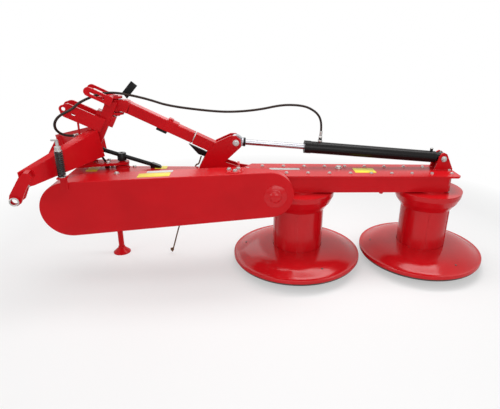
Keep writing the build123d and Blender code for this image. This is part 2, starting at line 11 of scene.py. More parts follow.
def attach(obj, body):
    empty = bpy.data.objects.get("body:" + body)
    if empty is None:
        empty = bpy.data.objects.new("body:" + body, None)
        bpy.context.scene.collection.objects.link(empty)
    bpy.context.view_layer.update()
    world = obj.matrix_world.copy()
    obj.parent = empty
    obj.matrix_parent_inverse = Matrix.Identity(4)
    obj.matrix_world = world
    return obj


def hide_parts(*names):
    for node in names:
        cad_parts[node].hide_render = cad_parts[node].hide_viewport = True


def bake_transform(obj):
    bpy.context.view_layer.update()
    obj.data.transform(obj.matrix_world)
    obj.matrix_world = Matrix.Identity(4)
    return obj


bl_info = {
    "name": "Drum mower dressing",
    "version": (1, 0, 0),
    "blender": (4, 5, 0),
    "location": "View3D > Sidebar > Mower",
    "description": "Paint, fasteners, hoses and fittings for a drum mower",
    "category": "Object",
}

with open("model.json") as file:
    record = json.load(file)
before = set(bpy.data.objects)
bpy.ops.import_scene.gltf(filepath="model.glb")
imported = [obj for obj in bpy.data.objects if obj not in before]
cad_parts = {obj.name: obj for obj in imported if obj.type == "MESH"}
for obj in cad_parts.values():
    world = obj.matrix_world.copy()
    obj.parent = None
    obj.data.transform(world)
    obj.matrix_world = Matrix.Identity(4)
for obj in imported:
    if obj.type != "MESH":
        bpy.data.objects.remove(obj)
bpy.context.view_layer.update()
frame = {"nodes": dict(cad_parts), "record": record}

MM = 0.001
UP, DOWN, NEAR, FAR, RIGHT = (0, 0, 1), (0, 0, -1), (0, -1, 0), (0, 1, 0), (1, 0, 0)

# Places on the machine, in millimetres
KING = (-1000.0, 54.0)
HITCH_TURN = math.radians(189.0)
SPINE_Y = 54.0
BOOM_TOP, LID_TOP, GUARD_FRONT = 590.0, 594.0, -262.0
BARREL_EYE, ROD_EYE = (881.0, 54.0, 664.0), (-369.5, 54.0, 747.5)
PIVOT = (-162.0, 528.0)
BIG_PULLEY = (-1190.0, 461.4)
DRUM_PLACES = (("inner", 0.0), ("outer", 800.0))
GUARD_TOP_START, GUARD_SLOPE = (-1202.9, 604.3), 0.0549
STRUT_MID, STRUT_SLOPE = (-850.0, 885.0), -0.476
MAST_START, MAST_LEAN = (10.0, 973.0), (187.0, -391.0)
TENSIONER = (-1196.0, -276.0)
LOWER_EYE = (424.0, 572.0)
LID_PITCH = 124.4

# Lines of the hoses, the pull rope and the release link, in metres
HOSE_END = [
    (0.1178, 0.054, 0.77612), (0.1225, 0.054, 0.8459), (0.104, 0.054, 0.906), (0.052, 0.054, 0.944),
    (-0.008, 0.054, 0.960), (-0.060, 0.054, 0.960),
]
HOSE_LIFT = [
    (-0.060, 0.054, 0.960), (-0.112, 0.054, 0.960), (-0.236, 0.054, 0.930), (-0.372, 0.054, 0.914),
    (-0.492, 0.054, 0.914), (-0.612, 0.054, 0.926),
]
HOSE_TAIL = [
    (-0.612, 0.054, 0.926), (-0.727, 0.054, 0.9375), (-0.832, 0.053, 0.971), (-0.925, 0.049, 0.992),
    (-0.992, 0.042, 1.003), (-1.048, 0.030, 1.001), (-1.092, 0.006, 0.989), (-1.126, -0.024, 0.974),
    (-1.156, -0.050, 0.957), (-1.181, -0.068, 0.931), (-1.202, -0.102, 0.920), (-1.234, -0.119, 0.901),
    (-1.258, -0.118, 0.867), (-1.262, -0.102, 0.830), (-1.246, -0.076, 0.802), (-1.212, -0.057, 0.790),
    (-1.192, -0.026, 0.787),
]
PULL_ROPE = [
    (-0.566, 0.046, 0.661), (-0.574, 0.050, 0.636), (-0.583, 0.060, 0.612), (-0.592, 0.078, 0.603),
    (-0.600, 0.095, 0.598), (-0.612, 0.103, 0.574), (-0.640, 0.110, 0.480), (-0.672, 0.116, 0.370),
    (-0.706, 0.122, 0.250), (-0.742, 0.127, 0.130), (-0.764, 0.130, 0.050), (-0.776, 0.131, 0.012),
]
RELEASE_LINK = [
    (-1.083, 0.054, 0.612), (-1.088, 0.030, 0.640), (-1.098, 0.020, 0.668), (-1.108, 0.036, 0.686),
    (-1.098, 0.054, 0.694),
]

# The camera as fitted to the photograph: place in metres, turns in degrees, lens in millimetres
CAMERA_PLACE = (-0.3356, -2.4113, 1.3376)
CAMERA_YAW, CAMERA_PITCH, CAMERA_ROLL = 8.59, 20.94, 2.78
CAMERA_LENS, CAMERA_SHIFT = 31.33, (-0.1072, -0.0082)

# Lamps: name, place, target, width and depth in metres, power in watts
LAMPS = (
    ("key", (-0.6, -0.6, 3.4), (-0.2, 0.0, 0.4), (2.4, 2.4), 28.0),
    ("front", (0.6, -3.6, 1.9), (0.0, 0.0, 0.4), (2.4, 2.4), 42.0),
    ("left", (-3.4, -1.2, 1.6), (-0.6, 0.0, 0.6), (1.6, 1.6), 14.0),
    ("rear", (-1.1, 2.7, 1.9), (-0.9, 0.0, 0.5), (1.3, 1.3), 6.0),
    ("discs", (0.45, 0.32, 2.2), (0.42, 0.05, 0.1), (2.5, 0.62), 26.0),
    ("rear_left", (-2.6, 1.5, 2.1), (-1.2, 0.0, 0.7), (1.0, 1.0), 6.0),
)

# The floor's half side and its fade to white from a radius in metres, and the world's light
FLOOR_HALF, FADE_START, FADE_RATE, FADE_LEAST = 14.0, 1.3, 0.8, 0.42
FLOOR_GREY, AMBIENT = 0.86, 0.55

# Finishes of the record's slots, and nodes whose red paint is the turned kind
FINISH_OF_SLOT = {
    "red_paint": "Red paint", "black_paint": "Black paint", "chrome_rod": "Chrome", "zinc": "Zinc",
    "dark_steel": "Dark steel", "spring_steel": "Spring steel", "rubber_hose": "Hose rubber",
    "rope_fibre": "Rope fibre",
}
TURNED_NODES = ("drum_", "disc_", "collar_", "pulley_cap")


def colour_setting(name, description, default):
    return bpy.props.FloatVectorProperty(
        name=name, description=description, subtype="COLOR", size=3, default=default
    )


def length_setting(name, description, default):
    return bpy.props.FloatProperty(name=name, description=description, default=default, unit="LENGTH")


class MowerColours(bpy.types.PropertyGroup):
    """Colours of the mower's finishes."""

    paint: colour_setting("Paint", "Main gloss paint", (0.56, 0.0040, 0.0085))
    paint_deep: colour_setting("Paint, deeper", "Darker patches of the paint", (0.50, 0.0034, 0.0072))
    black: colour_setting("Black", "Black paint of the cylinder and levers", (0.0060, 0.0060, 0.0065))
    rubber: colour_setting("Rubber", "Cover of the hydraulic hose", (0.017, 0.0095, 0.0075))
    rope: colour_setting("Rope", "Fibre of the pull rope", (0.20, 0.11, 0.06))
    plate_yellow: colour_setting("Yellow plate", "Blank yellow plates", (0.86, 0.72, 0.03))
    plate_pale: colour_setting("Pale plate", "Blank pale plates", (0.62, 0.62, 0.60))


class MowerSizes(bpy.types.PropertyGroup):
    """Sizes of what is put on the mower."""

    bolt_radius: length_setting("Bolt radius", "Radius over a bolt head's corners", 0.0098)
    bolt_height: length_setting("Bolt height", "Height of a bolt head", 0.0065)
    washer_radius: length_setting("Washer radius", "Radius of a bolt's washer", 0.0115)
    hose_radius: length_setting("Hose radius", "Radius of the hydraulic hose", 0.0065)
    rope_radius: length_setting("Rope radius", "Radius of the pull rope", 0.0045)
    weld_radius: length_setting("Weld radius", "Radius of a weld's bead", 0.0042)
    wire_radius: length_setting("Wire radius", "Radius of the coil's wire", 0.004)
    spring_turns: bpy.props.FloatProperty(
        name="Spring turns", description="Turns of the tensioner's coil", default=12.0, min=2.0
    )


def mm(x, y, z):
    return Vector((x * MM, y * MM, z * MM))


def on_hitch(d, s, z):
    """A point in the hitch's frame: d to the tractor, s to the near side, in millimetres."""
    c, n = math.cos(HITCH_TURN), math.sin(HITCH_TURN)
    return mm(KING[0] + d * c - s * n, KING[1] + d * n + s * c, z)


def hitch_way(d, s, z=0.0):
    c, n = math.cos(HITCH_TURN), math.sin(HITCH_TURN)
    return Vector((d * c - s * n, d * n + s * c, z))


RAM_WAY = (Vector(ROD_EYE) - Vector(BARREL_EYE)).normalized()
RAM_UP = Vector((RAM_WAY.z, 0, -RAM_WAY.x))


def on_ram(along, up=0.0):
    """A point on the cylinder: along from the barrel's eye to the rod's, up across it."""
    return (Vector(BARREL_EYE) + RAM_WAY * along + RAM_UP * up) * MM


# Meshes


def mesh_object(name, verts, faces, sharp=35.0):
    """A linked object at the origin with these faces, all turned outwards."""
    mesh = bpy.data.meshes.new(name)
    mesh.from_pydata([tuple(v) for v in verts], [], faces)
    work = bmesh.new()
    work.from_mesh(mesh)
    bmesh.ops.remove_doubles(work, verts=work.verts, dist=1e-6)
    bmesh.ops.recalc_face_normals(work, faces=work.faces)
    work.to_mesh(mesh)
    work.free()
    return shown(name, mesh, sharp)


def shown(name, mesh, sharp=35.0):
    mesh.polygons.foreach_set("use_smooth", [True] * len(mesh.polygons))
    mesh.set_sharp_from_angle(angle=math.radians(sharp))
    obj = bpy.data.objects.new(name, mesh)
    bpy.context.scene.collection.objects.link(obj)
    return obj


def merged(name, parts, sharp=35.0):
    """One object from several lists of vertices and faces."""
    verts, faces = [], []
    for part_verts, part_faces in parts:
        shift = len(verts)
        verts += list(part_verts)
        faces += [[i + shift for i in face] for face in part_faces]
    return mesh_object(name, verts, faces, sharp)


def across(axis):
    """Two directions square to an axis and to each other."""
    axis = Vector(axis).normalized()
    side = axis.cross(Vector((0, 0, 1)) if abs(axis.z) < 0.9 else Vector((1, 0, 0))).normalized()
    return side, axis.cross(side)


def turned(origin, axis, profile, segments=40):
    """A closed turned form.

    The profile holds radius and height in millimetres, from the axis to the axis or all round.
    """
    origin, axis = Vector(origin), Vector(axis).normalized()
    side, other = across(axis)
    verts, rings = [], []
    for r, h in profile:
        if r < 1e-6:
            rings.append([len(verts)])
            verts.append(origin + axis * h * MM)
            continue
        rings.append(list(range(len(verts), len(verts) + segments)))
        for i in range(segments):
            a = 2 * math.pi * i / segments
            verts.append(origin + axis * h * MM + (side * math.cos(a) + other * math.sin(a)) * r * MM)
    faces = []
    closed = len(rings[0]) > 1
    pairs = zip(rings, rings[1:] + rings[:1]) if closed else zip(rings, rings[1:])
    for low, high in pairs:
        for i in range(segments):
            j = (i + 1) % segments
            if len(low) == 1:
                faces.append([low[0], high[i], high[j]])
            elif len(high) == 1:
                faces.append([low[i], low[j], high[0]])
            else:
                faces.append([low[i], low[j], high[j], high[i]])
    return verts, faces


def slab(outline, origin, u, v, thick, edge=0.6):
    """A plate with eased edges: outline in millimetres along u and v, thick along their cross product."""
    origin, u, v = Vector(origin), Vector(u).normalized(), Vector(v).normalized()
    w = u.cross(v).normalized()
    work = bmesh.new()
    low = [work.verts.new(origin + (u * a + v * b) * MM) for a, b in outline]
    face = work.faces.new(low)
    top = bmesh.ops.extrude_face_region(work, geom=[face])
    moved = [e for e in top["geom"] if isinstance(e, bmesh.types.BMVert)]
    bmesh.ops.translate(work, verts=moved, vec=w * thick * MM)
    if edge > 0:
        edges = list(work.edges)
        bmesh.ops.bevel(work, geom=edges, offset=edge * MM, segments=2, affect="EDGES", profile=0.5)
    bmesh.ops.recalc_face_normals(work, faces=work.faces)
    work.verts.index_update()
    verts = [v.co.copy() for v in work.verts]
    faces = [[v.index for v in f.verts] for f in work.faces]
    work.free()
    return verts, faces


def oblong(half_width, half_height):
    return [
        (-half_width, -half_height), (half_width, -half_height), (half_width, half_height),
        (-half_width, half_height),
    ]


def rounded(width, height, radius, steps=4):
    """A rectangle's outline with round corners, centred."""
    points = []
    for cx, cy, start in ((1, 1, 0), (-1, 1, 90), (-1, -1, 180), (1, -1, 270)):
        for i in range(steps + 1):
            a = math.radians(start + 90 * i / steps)
            x = cx * (width / 2 - radius) + radius * math.cos(a)
            y = cy * (height / 2 - radius) + radius * math.sin(a)
            points.append((x, y))
    return points


def swept(points, radius, sides=12, strands=0, pitch=0.03):
    """A closed tube along points, or as many twisted strands."""
    points = [Vector(p) for p in points]
    tangents = []
    for i in range(len(points)):
        before, after = points[max(i - 1, 0)], points[min(i + 1, len(points) - 1)]
        tangents.append((after - before).normalized())
    normal = across(tangents[0])[0]
    rows, travelled = [], 0.0
    for i, (p, t) in enumerate(zip(points, tangents)):
        normal = (normal - t * normal.dot(t)).normalized()
        if i:
            travelled += (p - points[i - 1]).length
        rows.append((p, normal.copy(), t.cross(normal), travelled))
    verts, faces = [], []
    for strand in range(max(strands, 1)):
        first = len(verts)
        for p, n, b, s in rows:
            centre, r = p, radius
            if strands:
                turn = 2 * math.pi * (s / pitch + strand / strands)
                centre = p + (n * math.cos(turn) + b * math.sin(turn)) * radius * 0.5
                r = radius * 0.52
            for k in range(sides):
                a = 2 * math.pi * k / sides
                verts.append(centre + (n * math.cos(a) + b * math.sin(a)) * r)
        for i in range(len(rows) - 1):
            for k in range(sides):
                j = (k + 1) % sides
                a, c = first + i * sides, first + (i + 1) * sides
                faces.append([a + k, a + j, c + j, c + k])
        faces.append([first + k for k in range(sides)][::-1])
        faces.append([first + (len(rows) - 1) * sides + k for k in range(sides)])
    return verts, faces


def smooth_line(route):
    """Points along the route's own NURBS line, read from a curve with no bevel."""
    curve = bpy.data.curves.new("route", "CURVE")
    curve.dimensions = "3D"
    curve.resolution_u = 12
    spline = curve.splines.new("NURBS")
    spline.points.add(len(route) - 1)
    for point, place in zip(spline.points, route):
        point.co = (*place, 1.0)
    spline.order_u = 3
    spline.use_endpoint_u = True
    obj = bpy.data.objects.new("route", curve)
    bpy.context.scene.collection.objects.link(obj)
    bpy.context.view_layer.update()
    mesh = bpy.data.meshes.new_from_object(obj.evaluated_get(bpy.context.evaluated_depsgraph_get()))
    points = [v.co.copy() for v in mesh.vertices]
    bpy.data.objects.remove(obj)
    bpy.data.meshes.remove(mesh)
    return points


# Finishes


def add(tree, kind, **settings):
    node = tree.nodes.new(kind)
    for key, value in settings.items():
        setattr(node, key, value)
    return node


def maths(tree, operation, a, b=None, clamp=False):
    node = add(tree, "ShaderNodeMath", operation=operation, use_clamp=clamp)
    for socket, value in zip(node.inputs, (a, b)):
        if value is None:
            continue
        if isinstance(value, (int, float)):
            socket.default_value = value
        else:
            tree.links.new(value, socket)
    return node.outputs[0]


def blended(tree, factor, a, b):
    node = add(tree, "ShaderNodeMix", data_type="RGBA")
    tree.links.new(factor, node.inputs[0])
    for socket, value in ((node.inputs[6], a), (node.inputs[7], b)):
        if isinstance(value, bpy.types.NodeSocket):
            tree.links.new(value, socket)
        else:
            socket.default_value = (*value, 1.0)
    return node.outputs[2]


def group_with(name, inputs, outputs):
    group = bpy.data.node_groups.new(name, "ShaderNodeTree")
    for label, kind, value in inputs:
        group.interface.new_socket(name=label, in_out="INPUT", socket_type=kind).default_value = value
    for label, kind in outputs:
        group.interface.new_socket(name=label, in_out="OUTPUT", socket_type=kind)
    return group, add(group, "NodeGroupInput"), add(group, "NodeGroupOutput")


def weathering():
    """Patches, dust on what faces up, and fine grain."""
    group, given, out = group_with(
        "Weathering",
        [
            ("Colour", "NodeSocketColor", (0.5, 0.5, 0.5, 1)),
            ("Patch colour", "NodeSocketColor", (0.4, 0.4, 0.4, 1)),
            ("Dust colour", "NodeSocketColor", (0.5, 0.42, 0.34, 1)), ("Dust", "NodeSocketFloat", 0.1),
            ("Patch size", "NodeSocketFloat", 6.0), ("Grain size", "NodeSocketFloat", 300.0),
            ("Stretch", "NodeSocketVector", (1, 1, 1)), ("Roughness", "NodeSocketFloat", 0.4),
            ("Spread", "NodeSocketFloat", 0.1),
        ],
        [("Colour", "NodeSocketColor"), ("Roughness", "NodeSocketFloat"), ("Height", "NodeSocketFloat")],
    )
    links = group.links
    place = add(group, "ShaderNodeTexCoord")
    stretched = add(group, "ShaderNodeVectorMath", operation="MULTIPLY")
    links.new(place.outputs["Object"], stretched.inputs[0])
    links.new(given.outputs["Stretch"], stretched.inputs[1])
    patches = add(group, "ShaderNodeTexNoise")
    patches.inputs["Detail"].default_value = 5
    links.new(place.outputs["Object"], patches.inputs["Vector"])
    links.new(given.outputs["Patch size"], patches.inputs["Scale"])
    grain = add(group, "ShaderNodeTexNoise")
    grain.inputs["Detail"].default_value = 3
    links.new(stretched.outputs[0], grain.inputs["Vector"])
    links.new(given.outputs["Grain size"], grain.inputs["Scale"])
    above = maths(group, "SUBTRACT", patches.outputs["Fac"], 0.36)
    patch = maths(group, "MULTIPLY", above, 3.4, clamp=True)
    colour = blended(group, patch, given.outputs["Colour"], given.outputs["Patch colour"])
    split = add(group, "ShaderNodeSeparateXYZ")
    links.new(place.outputs["Normal"], split.inputs[0])
    up = maths(group, "MULTIPLY", maths(group, "SUBTRACT", split.outputs["Z"], 0.5), 2.0, clamp=True)
    rest = maths(group, "SUBTRACT", grain.outputs["Fac"], 0.42)
    speck = maths(group, "MULTIPLY", rest, 4.0, clamp=True)
    settled = maths(group, "MULTIPLY", up, speck)
    dust = maths(group, "MULTIPLY", settled, given.outputs["Dust"], clamp=True)
    links.new(blended(group, dust, colour, given.outputs["Dust colour"]), out.inputs["Colour"])
    middle = maths(group, "SUBTRACT", patches.outputs["Fac"], 0.5)
    swing = maths(group, "MULTIPLY", middle, given.outputs["Spread"])
    uneven = maths(group, "ADD", given.outputs["Roughness"], swing)
    rough = maths(group, "ADD", uneven, dust, clamp=True)
    links.new(rough, out.inputs["Roughness"])
    links.new(grain.outputs["Fac"], out.inputs["Height"])
    return group


def edge_wear_and_highlight():
    """A mask that is strong on corners, where worn paint and a painted highlight along the edges show."""
    group, given, out = group_with(
        "Edge wear",
        [("Width", "NodeSocketFloat", 0.002), ("Amount", "NodeSocketFloat", 0.5)],
        [("Mask", "NodeSocketFloat")],
    )
    links = group.links
    bevel = add(group, "ShaderNodeBevel", samples=4)
    links.new(given.outputs["Width"], bevel.inputs["Radius"])
    plain = add(group, "ShaderNodeNewGeometry")
    dot = add(group, "ShaderNodeVectorMath", operation="DOT_PRODUCT")
    links.new(bevel.outputs[0], dot.inputs[0])
    links.new(plain.outputs["Normal"], dot.inputs[1])
    bend = maths(group, "SUBTRACT", 1.0, dot.outputs["Value"])
    corner = maths(group, "MULTIPLY", bend, 9.0, clamp=True)
    place = add(group, "ShaderNodeTexCoord")
    noise = add(group, "ShaderNodeTexNoise")
    noise.inputs["Scale"].default_value = 55
    noise.inputs["Detail"].default_value = 4
    links.new(place.outputs["Object"], noise.inputs["Vector"])
    spots = maths(group, "SUBTRACT", noise.outputs["Fac"], 0.40)
    rubbed_and_lit = maths(group, "MULTIPLY", spots, 3.5, clamp=True)
    bare_and_lit = maths(group, "MULTIPLY", corner, rubbed_and_lit)
    worn_and_lit = maths(group, "MULTIPLY", bare_and_lit, given.outputs["Amount"], clamp=True)
    links.new(worn_and_lit, out.inputs["Mask"])
    return group


def finish(
    name, colour, patch, roughness=0.4, spread=0.1, metallic=0.0, specular=0.5, dust=0.08, patch_size=5.0,
    grain=300.0, stretch=(1, 1, 1), bump=0.15, depth=0.0004, worn_and_lit=(0.5, 0.5, 0.5), wear=0.0,
):
    """A finish from the two shared groups."""
    material = bpy.data.materials.new(name)
    material.use_nodes = True
    tree = material.node_tree
    shader = tree.nodes["Principled BSDF"]
    shader.inputs["Metallic"].default_value = metallic
    shader.inputs["Specular IOR Level"].default_value = specular
    weather = add(tree, "ShaderNodeGroup", node_tree=bpy.data.node_groups["Weathering"])
    values = {
        "Colour": (*colour, 1), "Patch colour": (*patch, 1), "Dust": dust, "Patch size": patch_size,
        "Grain size": grain, "Stretch": stretch, "Roughness": roughness, "Spread": spread,
    }
    for label, value in values.items():
        weather.inputs[label].default_value = value
    base = weather.outputs["Colour"]
    # Corners take a lighter colour: worn paint, and a painted highlight along the edges
    if wear > 0:
        edges = add(tree, "ShaderNodeGroup", node_tree=bpy.data.node_groups["Edge wear"])
        edges.inputs["Amount"].default_value = wear
        base = blended(tree, edges.outputs["Mask"], base, worn_and_lit)
    tree.links.new(base, shader.inputs["Base Color"])
    tree.links.new(weather.outputs["Roughness"], shader.inputs["Roughness"])
    relief = add(tree, "ShaderNodeBump")
    relief.inputs["Strength"].default_value = bump
    relief.inputs["Distance"].default_value = depth
    tree.links.new(weather.outputs["Height"], relief.inputs["Height"])
    tree.links.new(relief.outputs[0], shader.inputs["Normal"])
    return material


def dress(obj, body, slot, replaced=(), material=None):
    """Gives a piece its slot's finish or another, and the body that it rides on."""
    obj.data.materials.clear()
    obj.data.materials.append(bpy.data.materials[material or FINISH_OF_SLOT[slot]])
    if replaced:
        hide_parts(*replaced)
    if body:
        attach(obj, body)
    return obj


# Geometry Nodes


def node_tree(name, inputs):
    tree = bpy.data.node_groups.new(name, "GeometryNodeTree")
    tree.interface.new_socket(name="Geometry", in_out="INPUT", socket_type="NodeSocketGeometry")
    for label, kind, value in inputs:
        socket = tree.interface.new_socket(name=label, in_out="INPUT", socket_type=kind)
        if value is not None:
            socket.default_value = value
    tree.interface.new_socket(name="Geometry", in_out="OUTPUT", socket_type="NodeSocketGeometry")
    return tree, add(tree, "NodeGroupInput"), add(tree, "NodeGroupOutput")


def close_tree(tree, given, out, geometry):
    """Realises what is repeated and gives it its finish."""
    real = add(tree, "GeometryNodeRealizeInstances")
    tree.links.new(geometry, real.inputs[0])
    paint = add(tree, "GeometryNodeSetMaterial")
    tree.links.new(real.outputs[0], paint.inputs["Geometry"])
    tree.links.new(given.outputs["Finish"], paint.inputs["Material"])
    tree.links.new(paint.outputs[0], out.inputs["Geometry"])


def plain_mesh(name, base, tree, values, sharp=35.0):
    """The tree's result on a base mesh, as a plain mesh object."""
    holder = bpy.data.objects.new(name + "_base", base)
    bpy.context.scene.collection.objects.link(holder)
    modifier = holder.modifiers.new("Repeat", "NODES")
    modifier.node_group = tree
    for item in tree.interface.items_tree:
        if item.item_type == "SOCKET" and item.in_out == "INPUT" and item.name in values:
            modifier[item.identifier] = values[item.name]
    bpy.context.view_layer.update()
    done = holder.evaluated_get(bpy.context.evaluated_depsgraph_get())
    mesh = bpy.data.meshes.new_from_object(done)
    bpy.data.objects.remove(holder)
    if not mesh.polygons:
        raise RuntimeError(name + " came out empty")
    mesh.name = name
    return shown(name, mesh, sharp)


def one_point(name):
    """A base mesh with a single point, for trees that need none of their own."""
    base = bpy.data.meshes.new(name)
    base.from_pydata([(0, 0, 0)], [], [])
    return base


def bolt_tree():
    """Hex heads on washers, one on each point, along the point's facing."""
    tree, given, out = node_tree(
        "Hex bolts",
        [
            ("Head radius", "NodeSocketFloat", 0.0098), ("Head height", "NodeSocketFloat", 0.0065),
            ("Washer radius", "NodeSocketFloat", 0.0115), ("Washer height", "NodeSocketFloat", 0.0018),
            ("Seed", "NodeSocketInt", 7), ("Finish", "NodeSocketMaterial", None),
        ],
    )
    links = tree.links
    low = maths(tree, "MULTIPLY", given.outputs["Head height"], 0.72)
    high = maths(tree, "MULTIPLY", given.outputs["Head height"], 0.28)
    narrow = maths(tree, "MULTIPLY", given.outputs["Head radius"], 0.84)
    parts = []
    head = add(tree, "GeometryNodeMeshCylinder", fill_type="NGON")
    head.inputs["Vertices"].default_value = 6
    links.new(given.outputs["Head radius"], head.inputs["Radius"])
    links.new(low, head.inputs["Depth"])
    middle = maths(tree, "MULTIPLY", low, 0.5)
    parts.append((head, maths(tree, "ADD", middle, given.outputs["Washer height"])))
    crown = add(tree, "GeometryNodeMeshCone", fill_type="NGON")
    crown.inputs["Vertices"].default_value = 6
    links.new(narrow, crown.inputs["Radius Top"])
    links.new(given.outputs["Head radius"], crown.inputs["Radius Bottom"])
    links.new(high, crown.inputs["Depth"])
    parts.append((crown, maths(tree, "ADD", low, given.outputs["Washer height"])))
    washer = add(tree, "GeometryNodeMeshCylinder", fill_type="NGON")
    washer.inputs["Vertices"].default_value = 20
    links.new(given.outputs["Washer radius"], washer.inputs["Radius"])
    links.new(given.outputs["Washer height"], washer.inputs["Depth"])
    parts.append((washer, maths(tree, "MULTIPLY", given.outputs["Washer height"], 0.5)))
    join = add(tree, "GeometryNodeJoinGeometry")
    for part, lift in parts:
        rise = add(tree, "ShaderNodeCombineXYZ")
        links.new(lift, rise.inputs["Z"])
        move = add(tree, "GeometryNodeTransform")
        links.new(part.outputs["Mesh"], move.inputs["Geometry"])
        links.new(rise.outputs[0], move.inputs["Translation"])
        links.new(move.outputs[0], join.inputs[0])
    facing = add(tree, "GeometryNodeInputNamedAttribute", data_type="FLOAT_VECTOR")
    facing.inputs["Name"].default_value = "facing"
    size = add(tree, "GeometryNodeInputNamedAttribute", data_type="FLOAT")
    size.inputs["Name"].default_value = "size"
    align = add(tree, "FunctionNodeAlignRotationToVector", axis="Z")
    links.new(facing.outputs["Attribute"], align.inputs["Vector"])
    turn = add(tree, "FunctionNodeRandomValue", data_type="FLOAT")
    turn.inputs[3].default_value = 6.283
    links.new(given.outputs["Seed"], turn.inputs["Seed"])
    spin = add(tree, "FunctionNodeAxisAngleToRotation")
    spin.inputs["Axis"].default_value = (0, 0, 1)
    links.new(turn.outputs[1], spin.inputs["Angle"])
    both = add(tree, "FunctionNodeRotateRotation", rotation_space="LOCAL")
    links.new(align.outputs[0], both.inputs[0])
    links.new(spin.outputs[0], both.inputs[1])
    spread = add(tree, "GeometryNodeInstanceOnPoints")
    links.new(given.outputs["Geometry"], spread.inputs["Points"])
    links.new(join.outputs[0], spread.inputs["Instance"])
    links.new(both.outputs[0], spread.inputs["Rotation"])
    links.new(size.outputs["Attribute"], spread.inputs["Scale"])
    close_tree(tree, given, out, spread.outputs[0])
    return tree


def bead_tree():
    """Overlapping beads along every edge, as a weld's ripples."""
    tree, given, out = node_tree(
        "Weld beads",
        [
            ("Bead radius", "NodeSocketFloat", 0.0042), ("Pitch", "NodeSocketFloat", 0.0034),
            ("Finish", "NodeSocketMaterial", None),
        ],
    )
    links = tree.links
    line = add(tree, "GeometryNodeMeshToCurve")
    links.new(given.outputs["Geometry"], line.inputs[0])
    points = add(tree, "GeometryNodeCurveToPoints", mode="LENGTH")
    links.new(line.outputs[0], points.inputs[0])
    links.new(given.outputs["Pitch"], points.inputs["Length"])
    bead = add(tree, "GeometryNodeMeshIcoSphere")
    bead.inputs["Subdivisions"].default_value = 2
    links.new(given.outputs["Bead radius"], bead.inputs["Radius"])
    spread = add(tree, "GeometryNodeInstanceOnPoints")
    links.new(points.outputs["Points"], spread.inputs["Points"])
    links.new(bead.outputs["Mesh"], spread.inputs["Instance"])
    links.new(points.outputs["Rotation"], spread.inputs["Rotation"])
    spread.inputs["Scale"].default_value = (1.0, 1.0, 0.62)
    close_tree(tree, given, out, spread.outputs[0])
    return tree


def coil_tree():
    """A wire coil standing on the origin."""
    tree, given, out = node_tree(
        "Wire coil",
        [
            ("Turns", "NodeSocketFloat", 12.0), ("Coil radius", "NodeSocketFloat", 0.015),
            ("Height", "NodeSocketFloat", 0.13), ("Wire radius", "NodeSocketFloat", 0.004),
            ("Place", "NodeSocketVector", (0, 0, 0)), ("Finish", "NodeSocketMaterial", None),
        ],
    )
    links = tree.links
    spiral = add(tree, "GeometryNodeCurveSpiral")
    spiral.inputs["Resolution"].default_value = 22
    links.new(given.outputs["Turns"], spiral.inputs["Rotations"])
    links.new(given.outputs["Coil radius"], spiral.inputs["Start Radius"])
    links.new(given.outputs["Coil radius"], spiral.inputs["End Radius"])
    links.new(given.outputs["Height"], spiral.inputs["Height"])
    ring = add(tree, "GeometryNodeCurvePrimitiveCircle")
    ring.inputs["Resolution"].default_value = 10
    links.new(given.outputs["Wire radius"], ring.inputs["Radius"])
    body = add(tree, "GeometryNodeCurveToMesh")
    links.new(spiral.outputs[0], body.inputs[0])
    links.new(ring.outputs["Curve"], body.inputs[1])
    body.inputs["Fill Caps"].default_value = True
    move = add(tree, "GeometryNodeTransform")
    links.new(body.outputs[0], move.inputs["Geometry"])
    links.new(given.outputs["Place"], move.inputs["Translation"])
    close_tree(tree, given, out, move.outputs[0])
    return tree


def rib_tree():
    """Equal ribs set round an axis through a place, along +Y."""
    tree, given, out = node_tree(
        "Spline ribs",
        [
            ("Count", "NodeSocketInt", 6), ("Reach", "NodeSocketFloat", 0.0172),
            ("Rib", "NodeSocketVector", (0.006, 0.06, 0.003)),
            ("Place", "NodeSocketVector", (0, 0, 0)), ("Finish", "NodeSocketMaterial", None),
        ],
    )
    links = tree.links
    ring = add(tree, "GeometryNodeMeshCircle")
    links.new(given.outputs["Count"], ring.inputs["Vertices"])
    links.new(given.outputs["Reach"], ring.inputs["Radius"])
    block = add(tree, "GeometryNodeMeshCube")
    links.new(given.outputs["Rib"], block.inputs["Size"])
    centre = add(tree, "GeometryNodeInputPosition")
    upright = add(tree, "GeometryNodeTransform")
    upright.inputs["Rotation"].default_value = (math.radians(90), 0, 0)
    links.new(ring.outputs["Mesh"], upright.inputs["Geometry"])
    align = add(tree, "FunctionNodeAlignRotationToVector", axis="Z")
    links.new(centre.outputs[0], align.inputs["Vector"])
    spread = add(tree, "GeometryNodeInstanceOnPoints")
    links.new(upright.outputs[0], spread.inputs["Points"])
    links.new(block.outputs["Mesh"], spread.inputs["Instance"])
    links.new(align.outputs[0], spread.inputs["Rotation"])
    move = add(tree, "GeometryNodeTransform")
    links.new(spread.outputs[0], move.inputs["Geometry"])
    links.new(given.outputs["Place"], move.inputs["Translation"])
    close_tree(tree, given, out, move.outputs[0])
    return tree


# Fasteners: place in millimetres, the way the head faces, and its size against the lid's bolts


def guard_top(x):
    """Height of the belt guard's sloping top."""
    start, height = GUARD_TOP_START
    return height + GUARD_SLOPE * (x - start)


def lid_bolts():
    rows = [((-86 + LID_PITCH * i, -60, LID_TOP), UP, 1.0) for i in range(9)]
    rows += [((-216 + LID_PITCH * i, 76, LID_TOP), UP, 1.0) for i in range(9)]
    rows += [((x, y, LID_TOP), UP, 1.0) for x, y in ((-304, -30), (-304, 22), (926, 8))]
    rows.append(((237, 44, LID_TOP), UP, 1.75))
    rows += [((899, y, 538), RIGHT, 1.1) for y in (-40, 55)]
    return rows


